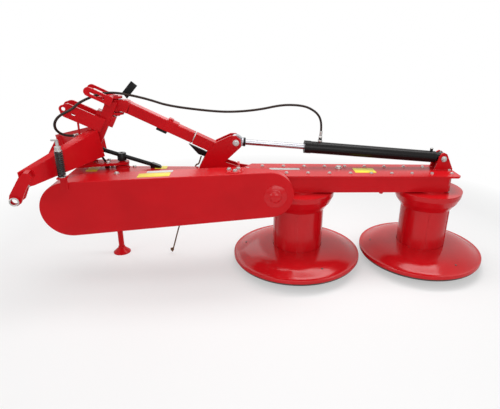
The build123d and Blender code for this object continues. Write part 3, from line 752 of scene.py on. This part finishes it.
def carrier_bolts():
    rows = [((-980, -150, guard_top(-980)), UP, 1.15)]
    rows += [((x, 66, BOOM_TOP), UP, 1.0) for x in (-1059, -940)]
    rows += [((x, y, guard_top(x) + 6), UP, 1.1) for x, y in ((-404, -190), (-372, -222), (-356, -186))]
    rows += [((-350, y, z), RIGHT, 1.35) for y in (-100, -40, 20) for z in (497, 586)]
    x, z = BIG_PULLEY
    rows += [((x + 205 * i, 84, 545), FAR, 1.3) for i in range(5)]
    for a in (0.5, 1.55, 2.6, 3.7, 4.7, 5.8):
        rows.append(((x + 42 * math.cos(a), 96, z + 42 * math.sin(a)), FAR, 0.9))
    return rows


def hitch_bolts():
    places = ((196, 38), (196, -38), (70, 26), (70, -26))
    rows = [(tuple(on_hitch(d, s, 626) / MM), UP, 1.1) for d, s in places]
    rows.append((tuple(on_hitch(365, 398, 640) / MM), tuple(hitch_way(0.5, 0.5, -0.7)), 1.0))
    return rows


def bolts_on(name, body, rows, sizes):
    """One mesh of bolts for a body."""
    base = bpy.data.meshes.new(name)
    base.from_pydata([mm(*row[0]) for row in rows], [], [])
    facing = base.attributes.new("facing", "FLOAT_VECTOR", "POINT")
    facing.data.foreach_set("vector", [x for row in rows for x in row[1]])
    size = base.attributes.new("size", "FLOAT", "POINT")
    size.data.foreach_set("value", [row[2] for row in rows])
    tree = bpy.data.node_groups.get("Hex bolts") or bolt_tree()
    obj = plain_mesh(name, base, tree, {
        "Head radius": sizes.bolt_radius, "Head height": sizes.bolt_height,
        "Washer radius": sizes.washer_radius, "Seed": 7, "Finish": bpy.data.materials["Zinc"],
    }, 25.0)
    for attribute in ("facing", "size"):
        if attribute in obj.data.attributes:
            obj.data.attributes.remove(obj.data.attributes[attribute])
    return dress(obj, body, "zinc")


def ring_line(x, y, z, radius, steps=36):
    """A ring's points in millimetres, the first again at the end."""
    points = []
    for i in range(steps + 1):
        a = 2 * math.pi * i / steps
        points.append((x + radius * math.cos(a), y + radius * math.sin(a), z))
    return points


def welds_on(name, body, lines, sizes):
    """Weld beads for a body, along lines in millimetres."""
    verts, edges = [], []
    for line in lines:
        first = len(verts)
        verts += [mm(*p) for p in line]
        edges += [(first + i, first + i + 1) for i in range(len(line) - 1)]
    base = bpy.data.meshes.new(name)
    base.from_pydata(verts, edges, [])
    tree = bpy.data.node_groups.get("Weld beads") or bead_tree()
    obj = plain_mesh(name, base, tree, {
        "Bead radius": sizes.weld_radius, "Pitch": sizes.weld_radius * 0.8,
        "Finish": bpy.data.materials["Red paint"],
    }, 80.0)
    return dress(obj, body, "red_paint")


# Floor, light and camera


def mixed(tree, factor, low, high, out):
    """Two shaders blended into an output."""
    mix = add(tree, "ShaderNodeMixShader")
    tree.links.new(factor, mix.inputs[0])
    tree.links.new(low.outputs[0], mix.inputs[1])
    tree.links.new(high.outputs[0], mix.inputs[2])
    tree.links.new(mix.outputs[0], out.inputs[0])


def studio_floor(scene):
    """A pale floor that fades to white away from the mower in what the camera sees."""
    mesh = bpy.data.meshes.new("floor")
    mesh.from_pydata([(x, y, 0) for x, y in oblong(FLOOR_HALF, FLOOR_HALF)], [], [(0, 1, 2, 3)])
    floor = bpy.data.objects.new("floor", mesh)
    scene.collection.objects.link(floor)
    white = bpy.data.materials.new("Floor")
    white.use_nodes = True
    tree = white.node_tree
    tree.nodes.clear()
    out = add(tree, "ShaderNodeOutputMaterial")
    soft = add(tree, "ShaderNodeBsdfDiffuse")
    soft.inputs["Color"].default_value = (FLOOR_GREY, FLOOR_GREY, FLOOR_GREY, 1)
    glow = add(tree, "ShaderNodeEmission")
    glow.inputs["Strength"].default_value = 1.0
    rays = add(tree, "ShaderNodeLightPath")
    place = add(tree, "ShaderNodeTexCoord")
    length = add(tree, "ShaderNodeVectorMath", operation="LENGTH")
    tree.links.new(place.outputs["Object"], length.inputs[0])
    beyond = maths(tree, "SUBTRACT", length.outputs["Value"], FADE_START)
    far = maths(tree, "MULTIPLY", beyond, FADE_RATE, clamp=True)
    lifted = maths(tree, "MAXIMUM", far, FADE_LEAST)
    seen = maths(tree, "MULTIPLY", lifted, rays.outputs["Is Camera Ray"], clamp=True)
    mixed(tree, seen, soft, glow, out)
    mesh.materials.append(white)


def studio_world(scene):
    """White behind the mower and in its reflections, and a weaker light round it."""
    world = bpy.data.worlds.new("Studio")
    scene.world = world
    world.use_nodes = True
    tree = world.node_tree
    tree.nodes.clear()
    out = add(tree, "ShaderNodeOutputWorld")
    ambient = add(tree, "ShaderNodeBackground")
    ambient.inputs["Strength"].default_value = AMBIENT
    backdrop = add(tree, "ShaderNodeBackground")
    backdrop.inputs["Color"].default_value = (1, 1, 1, 1)
    backdrop.inputs["Strength"].default_value = 1.0
    rays = add(tree, "ShaderNodeLightPath").outputs
    seen = maths(tree, "ADD", rays["Is Camera Ray"], rays["Is Transmission Ray"], clamp=True)
    seen = maths(tree, "ADD", seen, rays["Is Glossy Ray"], clamp=True)
    mixed(tree, seen, ambient, backdrop, out)


def studio_lamps(scene):
    for name, place, target, (width, depth), power in LAMPS:
        light = bpy.data.lights.new(name, "AREA")
        light.shape = "RECTANGLE"
        light.size, light.size_y = width, depth
        light.energy = power
        lamp = bpy.data.objects.new(name, light)
        way = Vector(target) - Vector(place)
        turn = way.to_track_quat("-Z", "Y").to_matrix().to_4x4()
        lamp.matrix_world = Matrix.Translation(place) @ turn
        lamp.visible_camera = False
        scene.collection.objects.link(lamp)


def fitted_camera(scene):
    yaw, pitch, roll = (math.radians(a) for a in (CAMERA_YAW, CAMERA_PITCH, CAMERA_ROLL))
    forward = Vector((math.sin(yaw) * math.cos(pitch), math.cos(yaw) * math.cos(pitch), -math.sin(pitch)))
    right = Vector((math.cos(yaw), -math.sin(yaw), 0))
    above = right.cross(forward)
    level = right * math.cos(roll) + above * math.sin(roll)
    upright = above * math.cos(roll) - right * math.sin(roll)
    view = Matrix((level, upright, -forward)).transposed().to_4x4()
    view.translation = Vector(CAMERA_PLACE)
    lens = bpy.data.cameras.new("camera")
    lens.sensor_width = 36.0
    lens.lens = CAMERA_LENS
    lens.shift_x, lens.shift_y = CAMERA_SHIFT
    camera = bpy.data.objects.new("camera", lens)
    camera.matrix_world = view
    scene.collection.objects.link(camera)
    scene.camera = camera


class MOWER_OT_stage(bpy.types.Operator):
    """Floor, plain studio light and the camera at the photograph's angle"""

    bl_idname = "mower.stage"
    bl_label = "Stage"

    def execute(self, context):
        scene = context.scene
        scene.view_settings.view_transform = "Standard"
        studio_floor(scene)
        studio_world(scene)
        studio_lamps(scene)
        fitted_camera(scene)
        return {"FINISHED"}


class MOWER_OT_finishes(bpy.types.Operator):
    """Make the finishes and give each carried-over part its own"""

    bl_idname = "mower.finishes"
    bl_label = "Finishes"

    def execute(self, context):
        colours = context.scene.mower_colours
        weathering()
        edge_wear_and_highlight()
        red, deep = tuple(colours.paint), tuple(colours.paint_deep)
        # Lighter pink for the corners of red paint: rubbed paint, and a painted highlight along the edges
        rubbed_and_lit = (0.66, 0.12, 0.12)
        finish(
            "Red paint", red, deep, 0.25, 0.10, specular=0.15, dust=0.02, grain=420, bump=0.10,
            depth=0.0003, worn_and_lit=rubbed_and_lit, wear=0.40,
        )
        finish(
            "Turned red paint", red, deep, 0.15, 0.08, specular=0.30, dust=0.02, grain=340, bump=0.12,
            depth=0.0003, worn_and_lit=rubbed_and_lit, wear=0.45,
        )
        finish(
            "Black paint", tuple(colours.black), (0.009, 0.008, 0.008), 0.26, 0.12, specular=0.16,
            dust=0.01, grain=380, worn_and_lit=(0.22, 0.21, 0.20), wear=0.35,
        )
        finish(
            "Chrome", (0.42, 0.42, 0.44), (0.34, 0.34, 0.37), 0.24, 0.08, metallic=1.0, dust=0.02,
            grain=900, bump=0.03,
        )
        finish(
            "Zinc", (0.60, 0.60, 0.58), (0.46, 0.46, 0.45), 0.36, 0.20, metallic=1.0, dust=0.06,
            patch_size=60, grain=1500, stretch=(1, 1, 3), bump=0.12,
        )
        finish(
            "Dark steel", (0.055, 0.050, 0.047), (0.10, 0.075, 0.060), 0.55, 0.25, metallic=0.6,
            dust=0.16, patch_size=14, grain=240, bump=0.35, worn_and_lit=(0.36, 0.34, 0.32), wear=0.6,
        )
        finish(
            "Spring steel", (0.006, 0.006, 0.007), (0.014, 0.013, 0.012), 0.34, 0.15, specular=0.4,
            dust=0.03, grain=600,
        )
        finish(
            "Hose rubber", tuple(colours.rubber), (0.030, 0.017, 0.013), 0.50, 0.16, specular=0.2,
            dust=0.04, patch_size=22, grain=700, bump=0.30,
        )
        finish(
            "Rope fibre", tuple(colours.rope), (0.10, 0.055, 0.030), 0.85, 0.10, specular=0.2,
            dust=0.10, patch_size=90, grain=2200, bump=0.6,
        )
        for name, colour, patch, roughness in (
            ("Yellow plate", colours.plate_yellow, (0.74, 0.60, 0.03), 0.42),
            ("Pale plate", colours.plate_pale, (0.50, 0.50, 0.49), 0.40),
        ):
            finish(name, tuple(colour), patch, roughness, 0.10, dust=0.05, grain=500, bump=0.05)
        for part in frame["record"]["subparts"]:
            name = FINISH_OF_SLOT[part["material_slot"]]
            if name == "Red paint" and part["node"].startswith(TURNED_NODES):
                name = "Turned red paint"
            obj = frame["nodes"][part["node"]]
            if not obj.material_slots:
                obj.data.materials.append(bpy.data.materials[name])
            for holder in obj.material_slots:
                holder.material = bpy.data.materials[name]
        return {"FINISHED"}


class MOWER_OT_hose(bpy.types.Operator):
    """Hydraulic hose from the cylinder to the hitch, with its ferrule and coupling"""

    bl_idname = "mower.hose"
    bl_label = "Hydraulic hose"

    def execute(self, context):
        radius = context.scene.mower_sizes.hose_radius
        line = smooth_line(HOSE_TAIL)
        end, way = line[-1], (line[-1] - line[-2]).normalized()
        sleeve = [
            (0, -2), (8.2, -2), (8.8, 2), (8.8, 18), (7.4, 20), (7.4, 24), (9.4, 25), (9.4, 40), (8.4, 42),
            (8.4, 44), (9.4, 46), (9.4, 60), (8, 62), (5, 62), (5, 56), (0, 56),
        ]
        nut = [(0, -3), (10.6, -3), (11.2, -1.5), (11.2, 1.5), (10.6, 3), (0, 3)]
        coupling = merged("hose_coupling", [
            turned(end - way * 0.020, way, sleeve, 36), turned(end + way * 0.006, way, nut, 6),
        ])
        dress(coupling, "hitch", "zinc", ("hose_plug",))
        routes = (
            (
                "hose_at_cylinder", HOSE_END, "hose_end", "cutter", "barrel",
                (-0.060, 0.054, 0.960), (0.115, 0.054, 0.800), 0.308,
            ),
            (
                "hose_over_strut", HOSE_LIFT, "hose_lift", "carrier", "cutter",
                (-0.580, 0.054, 0.925), (-0.075, 0.054, 0.960), 0.557,
            ),
            (
                "hose_to_hitch", HOSE_TAIL, "hose_tail", "carrier", "hitch",
                (-0.930, 0.049, 0.992), (-1.060, 0.025, 0.999), 0.904,
            ),
        )
        for name, route, node, low, high, start, stop, length in routes:
            points = smooth_line(route)
            tube = merged(name, [swept(points, radius, 16)], 60.0)
            dress(tube, None, "rubber_hose", (node,))
            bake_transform(tube)
        threaded = [
            (0, -1), (10.5, -1), (10.5, 6), (8.4, 8), (8.4, 34), (8.9, 36), (8.0, 39), (0, 39),
        ]
        hexagon = [(0, -2), (13.5, -2), (14.2, 0), (14.2, 9), (13.2, 11), (0, 11)]
        port = 769
        ferrule = merged("port_ferrule", [
            turned(on_ram(port, 61), RAM_UP, threaded), turned(on_ram(port, 38), RAM_UP, hexagon, 6),
        ])
        dress(ferrule, "barrel", "zinc")
        return {"FINISHED"}


class MOWER_OT_rope(bpy.types.Operator):
    """Laid pull rope that hangs by the latch lever, with a knot at its foot"""

    bl_idname = "mower.rope"
    bl_label = "Pull rope"

    def execute(self, context):
        radius = context.scene.mower_sizes.rope_radius
        points = smooth_line(PULL_ROPE)
        fine, longest_step = [], 0.003
        for a, b in zip(points, points[1:]):
            steps = max(1, int((b - a).length / longest_step))
            fine += [a.lerp(b, i / steps) for i in range(steps)]
        fine.append(points[-1])
        rope = merged("pull_rope_laid", [swept(fine, radius, 8, strands=3, pitch=0.032)], 70.0)
        reach, lift, wave, steps = 0.0065, 0.016, 0.006, 40
        loop = []
        for i in range(steps + 1):
            a = 2 * math.pi * i / steps
            turn = Vector((reach * math.cos(2 * a), reach * math.sin(2 * a), lift + wave * math.sin(3 * a)))
            loop.append(points[-1] + turn)
        knot = merged("rope_knot", [swept(loop, radius * 0.9, 10)], 70.0)
        dress(knot, "carrier", "rope_fibre")
        dress(rope, "carrier", "rope_fibre", ("pull_rope",))
        return {"FINISHED"}


class MOWER_OT_tensioner(bpy.types.Operator):
    """Wire coil of the belt tensioner, with its nuts"""

    bl_idname = "mower.tensioner"
    bl_label = "Belt tensioner"

    def execute(self, context):
        sizes = context.scene.mower_sizes
        x, y = TENSIONER
        coil = plain_mesh("tensioner_coil", one_point("coil"), coil_tree(), {
            "Turns": sizes.spring_turns, "Coil radius": 0.015, "Height": 0.124,
            "Wire radius": sizes.wire_radius, "Place": tuple(mm(x, y, 643.5)),
            "Finish": bpy.data.materials["Spring steel"],
        }, 60.0)
        dress(coil, "carrier", "spring_steel", ("tensioner_spring",))
        nut = [(0, 0), (13.8, 0), (14.6, 1.5), (14.6, 18), (13.5, 19.5), (0, 19.5)]
        top_washer = [(0, 0), (16, 0), (16.5, 1), (16.5, 3), (16, 3.8), (0, 3.8)]
        foot_washer = [(0, 0), (18.5, 0), (19, 1), (19, 2.5), (18.5, 3.2), (0, 3.2)]
        nuts = merged("tensioner_nuts", [
            turned(mm(x, y, 771), UP, nut, 6), turned(mm(x, y, 767.5), UP, top_washer),
            turned(mm(x, y, 639), UP, foot_washer),
        ], 28.0)
        dress(nuts, "carrier", "zinc")
        return {"FINISHED"}


class MOWER_OT_fasteners(bpy.types.Operator):
    """Hex bolts on the lid, the boom and the hitch, and the ribs of the drive stub"""

    bl_idname = "mower.fasteners"
    bl_label = "Fasteners"

    def execute(self, context):
        sizes = context.scene.mower_sizes
        bolts_on("lid_bolts", "cutter", lid_bolts(), sizes)
        bolts_on("carrier_bolts", "carrier", carrier_bolts(), sizes)
        bolts_on("hitch_bolts", "hitch", hitch_bolts(), sizes)
        ribs = plain_mesh("drive_splines", one_point("ribs"), rib_tree(), {
            "Count": 6, "Reach": 0.0176, "Rib": (0.0052, 0.058, 0.0044),
            "Place": tuple(mm(BIG_PULLEY[0], 145, BIG_PULLEY[1])),
            "Finish": bpy.data.materials["Dark steel"],
        }, 25.0)
        dress(ribs, "carrier", "dark_steel")
        return {"FINISHED"}


class MOWER_OT_pins(bpy.types.Operator):
    """Pin ends, eye rings, the rod's collar and grease nipples at the joints"""

    bl_idname = "mower.pins"
    bl_label = "Pins"

    def execute(self, context):
        head = [(0, 0), (17, 0), (18, 1), (18, 5), (17, 6), (12.8, 6), (12.8, 12), (11.5, 13.5), (0, 13.5)]
        nipple = [(0, 0), (5.5, 0), (5.5, 4), (3, 5), (3, 9), (4.2, 11), (3.2, 14), (0, 14.5)]
        lug = 40
        for name, body, (x, y, z) in (
            ("outer_pin_ends", "cutter", BARREL_EYE), ("inner_pin_ends", "carrier", ROD_EYE),
        ):
            ends = [turned(mm(x, y - lug, z), NEAR, head), turned(mm(x, y + lug, z), FAR, head)]
            dress(merged(name, ends), body, "zinc")
        bleed_screw = [(0, 0), (8, 0), (9.5, 1), (9.5, 5), (8, 6.5), (0, 6.5)]
        barrel = [turned(on_ram(12, 30), RAM_UP, nipple, 16), turned(on_ram(72, 48), RAM_UP, bleed_screw, 6)]
        dress(merged("barrel_fittings", barrel), "barrel", "zinc")
        sleeve = [(16.2, 0), (23, 0), (25.5, 2), (25.5, 12), (23, 14), (16.2, 14)]
        collar_place = 1213.3
        dress(merged("rod_collar", [turned(on_ram(collar_place), -RAM_WAY, sleeve)]), "rod", "black_paint")
        eye_ring = [(14.6, -1), (20.5, -1), (20.5, 2.2), (19, 3.4), (15.6, 3.4), (14.6, 2.4)]
        eyes = []
        d, z = LOWER_EYE
        ear_outside, ear_inside = 428, 340
        for side in (1, -1):
            way = hitch_way(0, side)
            eyes.append(turned(on_hitch(d, side * ear_outside, z), way, eye_ring))
            eyes.append(turned(on_hitch(d, side * ear_inside, z), -way, eye_ring))
        dress(merged("lower_eye_rings", eyes), "hitch", "zinc")
        x, z = PIVOT
        end = [(0, 0), (21, 0), (22, 1.5), (22, 6), (20, 8), (8, 8), (6, 5), (0, 5)]
        shaft = [turned(mm(x, 168, z), FAR, end), turned(mm(x, 176, z), FAR, nipple, 16)]
        dress(merged("pivot_shaft_end", shaft), "carrier", "zinc")
        return {"FINISHED"}


class MOWER_OT_turned_details(bpy.types.Operator):
    """Dome of the guard's cap, boss, drain plug, dished discs with their plugs, and dark saucer rims, which
    also stand in as painted shade under the discs' edges
    """

    bl_idname = "mower.turned_details"
    bl_label = "Turned details"

    def execute(self, context):
        gloss = "Turned red paint"
        cap = [
            (0, 0), (62, 0), (61, 2), (52, 5), (42, 7), (35, 8), (32, 10), (29, 15), (23, 19), (13, 22),
            (0, 23),
        ]
        dome = turned(mm(PIVOT[0], GUARD_FRONT, PIVOT[1]), NEAR, cap, 64)
        dress(merged("guard_cap_dome", [dome]), "carrier", "red_paint", ("pulley_cap",), gloss)
        pad = [(0, 0), (46, 0), (46, 4), (43, 6.5), (0, 6.5)]
        boss = turned(mm(-376, -202, guard_top(-376) - 1), (-GUARD_SLOPE, 0, 1), pad, 48)
        dress(merged("guard_top_boss", [boss]), "carrier", "red_paint", material=gloss)
        drain = [(0, -1), (15, -1), (15, 7), (11, 9), (11, 14), (9, 15.5), (0, 15.5)]
        plug = turned(mm(475, -82, 494), DOWN, drain, 24)
        dress(merged("drain_plug", [plug]), "cutter", "red_paint", material=gloss)
        dish = [
            (151, 131), (185, 129.6), (220, 127), (253, 123), (283, 117.5), (306, 110.5), (329, 100.5),
            (352, 89), (366, 82.8), (374, 80.6),
        ]
        lip = [(380, 80.8), (383, 81.6), (385.4, 80.2), (386, 77), (386, 62), (384, 60), (381, 61)]
        under = [(376, 74), (350, 80), (306, 102), (260, 114), (151, 120)]
        button = [(0, 0), (6, 0), (6, 9), (5, 10), (0, 10)]
        # Dark rim of the saucer, reaching out almost to the disc's edge: part saucer, part painted shade
        # under the disc's rim
        rim = [(290, 40), (372, 44), (377, 48), (377, 54), (371, 56), (290, 47)]
        plug_circle, plug_foot = 316, 98
        for name, x in DRUM_PLACES:
            disc = merged("dished_disc_" + name, [turned(mm(x, 0, 0), UP, dish + lip + under, 160)])
            dress(disc, name + "_drum", "red_paint", ("disc_" + name,), gloss)
            plugs = []
            for degrees in (50, 170, 290):
                a = math.radians(degrees)
                place = mm(x + plug_circle * math.cos(a), plug_circle * math.sin(a), plug_foot)
                plugs.append(turned(place, UP, button, 16))
            dress(merged("disc_plugs_" + name, plugs), name + "_drum", "dark_steel")
            saucer = merged("saucer_rim_and_shade_" + name, [turned(mm(x, 0, 0), UP, rim, 120)])
            dress(saucer, name + "_saucer", "dark_steel")
        return {"FINISHED"}


class MOWER_OT_plates(bpy.types.Operator):
    """Blank plates on the boom and the lid"""

    bl_idname = "mower.plates"
    bl_label = "Blank plates"

    def execute(self, context):
        def flat(x, y, z, width, height):
            return slab(rounded(width, height, 5), mm(x, y, z), RIGHT, FAR, 0.8, 0.2)

        def on_guard(x, y, width, height):
            uphill = (1, 0, GUARD_SLOPE)
            return slab(rounded(width, height, 4), mm(x, y, guard_top(x)), uphill, FAR, 0.8, 0.2)

        boom_yellow = [
            flat(-1147, 24, BOOM_TOP, 58, 100), on_guard(-783, -203, 160, 62),
            flat(-791, 52, BOOM_TOP, 66, 56),
        ]
        for name, plates, body, material in (
            ("boom_yellow_plates", boom_yellow, "carrier", "Yellow plate"),
            ("boom_pale_plate", [on_guard(-762, -150, 132, 34)], "carrier", "Pale plate"),
            ("lid_yellow_plate", [flat(385, 0, LID_TOP, 128, 92)], "cutter", "Yellow plate"),
            ("lid_pale_plate", [flat(-90, 22, LID_TOP, 176, 34)], "cutter", "Pale plate"),
        ):
            dress(merged(name, plates), body, "red_paint", material=material)
        return {"FINISHED"}


class MOWER_OT_strut_fittings(bpy.types.Operator):
    """Pieces on the strut, the breakaway tube, the mast and the bracket"""

    bl_idname = "mower.strut_fittings"
    bl_label = "Strut fittings"

    def execute(self, context):
        slope = math.atan(STRUT_SLOPE)
        along = Vector((math.cos(slope), 0, math.sin(slope)))
        over = Vector((-along.z, 0, along.x))
        far = Vector(FAR)

        def on_strut(x, lift, side=0.0):
            middle, height = STRUT_MID
            return mm(x, SPINE_Y + side, height + STRUT_SLOPE * (x - middle)) + over * lift * MM

        def ring_of_bars(x, offset, half_length, half_width, thick, edge):
            """Four flat bars round the strut's square tube."""
            bars = []
            for turn in range(4):
                a, b = (over, far) if turn % 2 else (far, over)
                sign = 1 if turn < 2 else -1
                outwards = sign * (1 if turn % 2 else -1)
                centre = on_strut(x, 0) + a * sign * offset * MM
                bars.append(slab(oblong(half_length, half_width), centre, along, b, thick * outwards, edge))
            return bars

        lock = [
            slab(rounded(64, 62, 4), on_strut(-722, 35), along, far, -16, 1.5),
            slab(rounded(26, 40, 4), on_strut(-735, 43), along, far, -9, 1.2),
        ]
        dress(merged("strut_lock_plate", lock), "carrier", "red_paint")
        under = slab(rounded(58, 46, 4), on_strut(-757, -45), along, far, 24, 2.0)
        guide_outline = [(-965, 1002), (-942, 971), (-884, 1040), (-913, 1064)]
        guide = slab(guide_outline, mm(0, SPINE_Y + 4, 0), RIGHT, UP, 6, 0.8)
        dress(merged("strut_black_fittings", [under, guide]), "carrier", "black_paint")
        band = ring_of_bars(-605, 25.2, 6.5, 25.8, 0.8, 0.1)
        dress(merged("strut_bright_band", band), "carrier", "zinc")
        collar = ring_of_bars(-607.6, 26.2, 4.4, 30, 3.8, 0.4)
        dress(merged("strut_collar", collar), "carrier", "red_paint")
        neck_outline = [
            (-992, 908), (-944, 908), (-944, 902), (-936, 900), (-922, 948), (-934, 962), (-950, 966),
            (-992, 966),
        ]
        neck = slab(neck_outline, mm(0, SPINE_Y + 30, 0), RIGHT, UP, 60, 2.0)
        shoulder = slab(oblong(11, 30.6), on_strut(-944, 0, 30.6), along, over, 61.2, 1.0)
        dress(merged("strut_neck", [neck, shoulder]), "carrier", "red_paint")

        cup = [(0, 0), (22, 0), (23.5, 1.5), (23.5, 40), (22, 42.5), (8, 42.5), (6, 40), (0, 40)]
        clamp = turned(mm(KING[0], KING[1], 632), UP, cup)
        dress(merged("breakaway_clamp", [clamp]), "carrier", "black_paint")
        lean, fall = MAST_LEAN
        height = 842
        start = on_hitch(MAST_START[0] + lean * (height - MAST_START[1]) / fall, 0, height)
        width_way = hitch_way(0, 1)
        mast_band = slab(oblong(49, 33), start, hitch_way(lean, 0, fall).cross(width_way), width_way, 58, 1.5)
        dress(merged("mast_band", [mast_band]), "hitch", "red_paint")
        foot = [(0, 0), (13, 0), (13, 6), (9, 8), (9, 24), (7.5, 26), (0, 26)]
        hook = [(0, -3), (13.5, -3), (14.2, 0), (14.2, 9), (12, 12), (6, 12), (6, 9), (0, 9)]
        link = [
            swept(smooth_line(RELEASE_LINK), 0.006, 12), turned(mm(-1083, SPINE_Y, 590), UP, foot),
            turned(mm(-1092, SPINE_Y, 689), (-0.951, 0, 0.309), hook),
        ]
        dress(merged("release_link", link), "carrier", "black_paint")
        return {"FINISHED"}


class MOWER_OT_welds(bpy.types.Operator):
    """Weld beads where plates meet the boom, the lid and the mast"""

    bl_idname = "mower.welds"
    bl_label = "Welds"

    def execute(self, context):
        sizes = context.scene.mower_sizes
        # The last ring is so small that its beads sit together as one, inside the boom
        rim = [(-365, -127, 505), (-365, -127, 590), (-365, 84, 590), (-365, 84, 505)]
        seams = [[(-578, y, 591), (-366, y, 591)] for y in (13, 25, 83)]
        rings = [ring_line(KING[0], KING[1], 591, 35), ring_line(BIG_PULLEY[0], SPINE_Y, 500, 0.1, 3)]
        welds_on("carrier_welds", "carrier", [rim, *seams, *rings], sizes)
        seams = [[(832, y, 595), (944, y, 595)] for y in (13, 25, 83, 95)]
        welds_on("cutter_welds", "cutter", seams, sizes)
        foot = [(131, -29), (221, -29), (221, 29), (131, 29), (131, -29)]
        welds_on("hitch_welds", "hitch", [[tuple(on_hitch(d, s, 627) / MM) for d, s in foot]], sizes)
        return {"FINISHED"}


class MOWER_PT_panel(bpy.types.Panel):
    """Lists the mower's steps and sizes"""

    bl_label = "Mower"
    bl_idname = "MOWER_PT_panel"
    bl_space_type = "VIEW_3D"
    bl_region_type = "UI"
    bl_category = "Mower"

    def draw(self, context):
        layout = self.layout
        for step in STEPS:
            layout.operator(step.bl_idname)
        for group in (context.scene.mower_colours, context.scene.mower_sizes):
            for label in group.__annotations__:
                layout.prop(group, label)


STEPS = (
    MOWER_OT_stage, MOWER_OT_finishes, MOWER_OT_hose, MOWER_OT_rope, MOWER_OT_tensioner, MOWER_OT_fasteners,
    MOWER_OT_pins, MOWER_OT_turned_details, MOWER_OT_plates, MOWER_OT_strut_fittings, MOWER_OT_welds,
)
CLASSES = (MowerColours, MowerSizes, *STEPS, MOWER_PT_panel)


def register():
    for kind in CLASSES:
        bpy.utils.register_class(kind)
    bpy.types.Scene.mower_colours = bpy.props.PointerProperty(type=MowerColours)
    bpy.types.Scene.mower_sizes = bpy.props.PointerProperty(type=MowerSizes)


def unregister():
    del bpy.types.Scene.mower_sizes
    del bpy.types.Scene.mower_colours
    for kind in reversed(CLASSES):
        bpy.utils.unregister_class(kind)


def main():
    register()
    for step in STEPS:
        area, name = step.bl_idname.split(".")
        getattr(getattr(bpy.ops, area), name)()


if __name__ == "__main__":
    main()
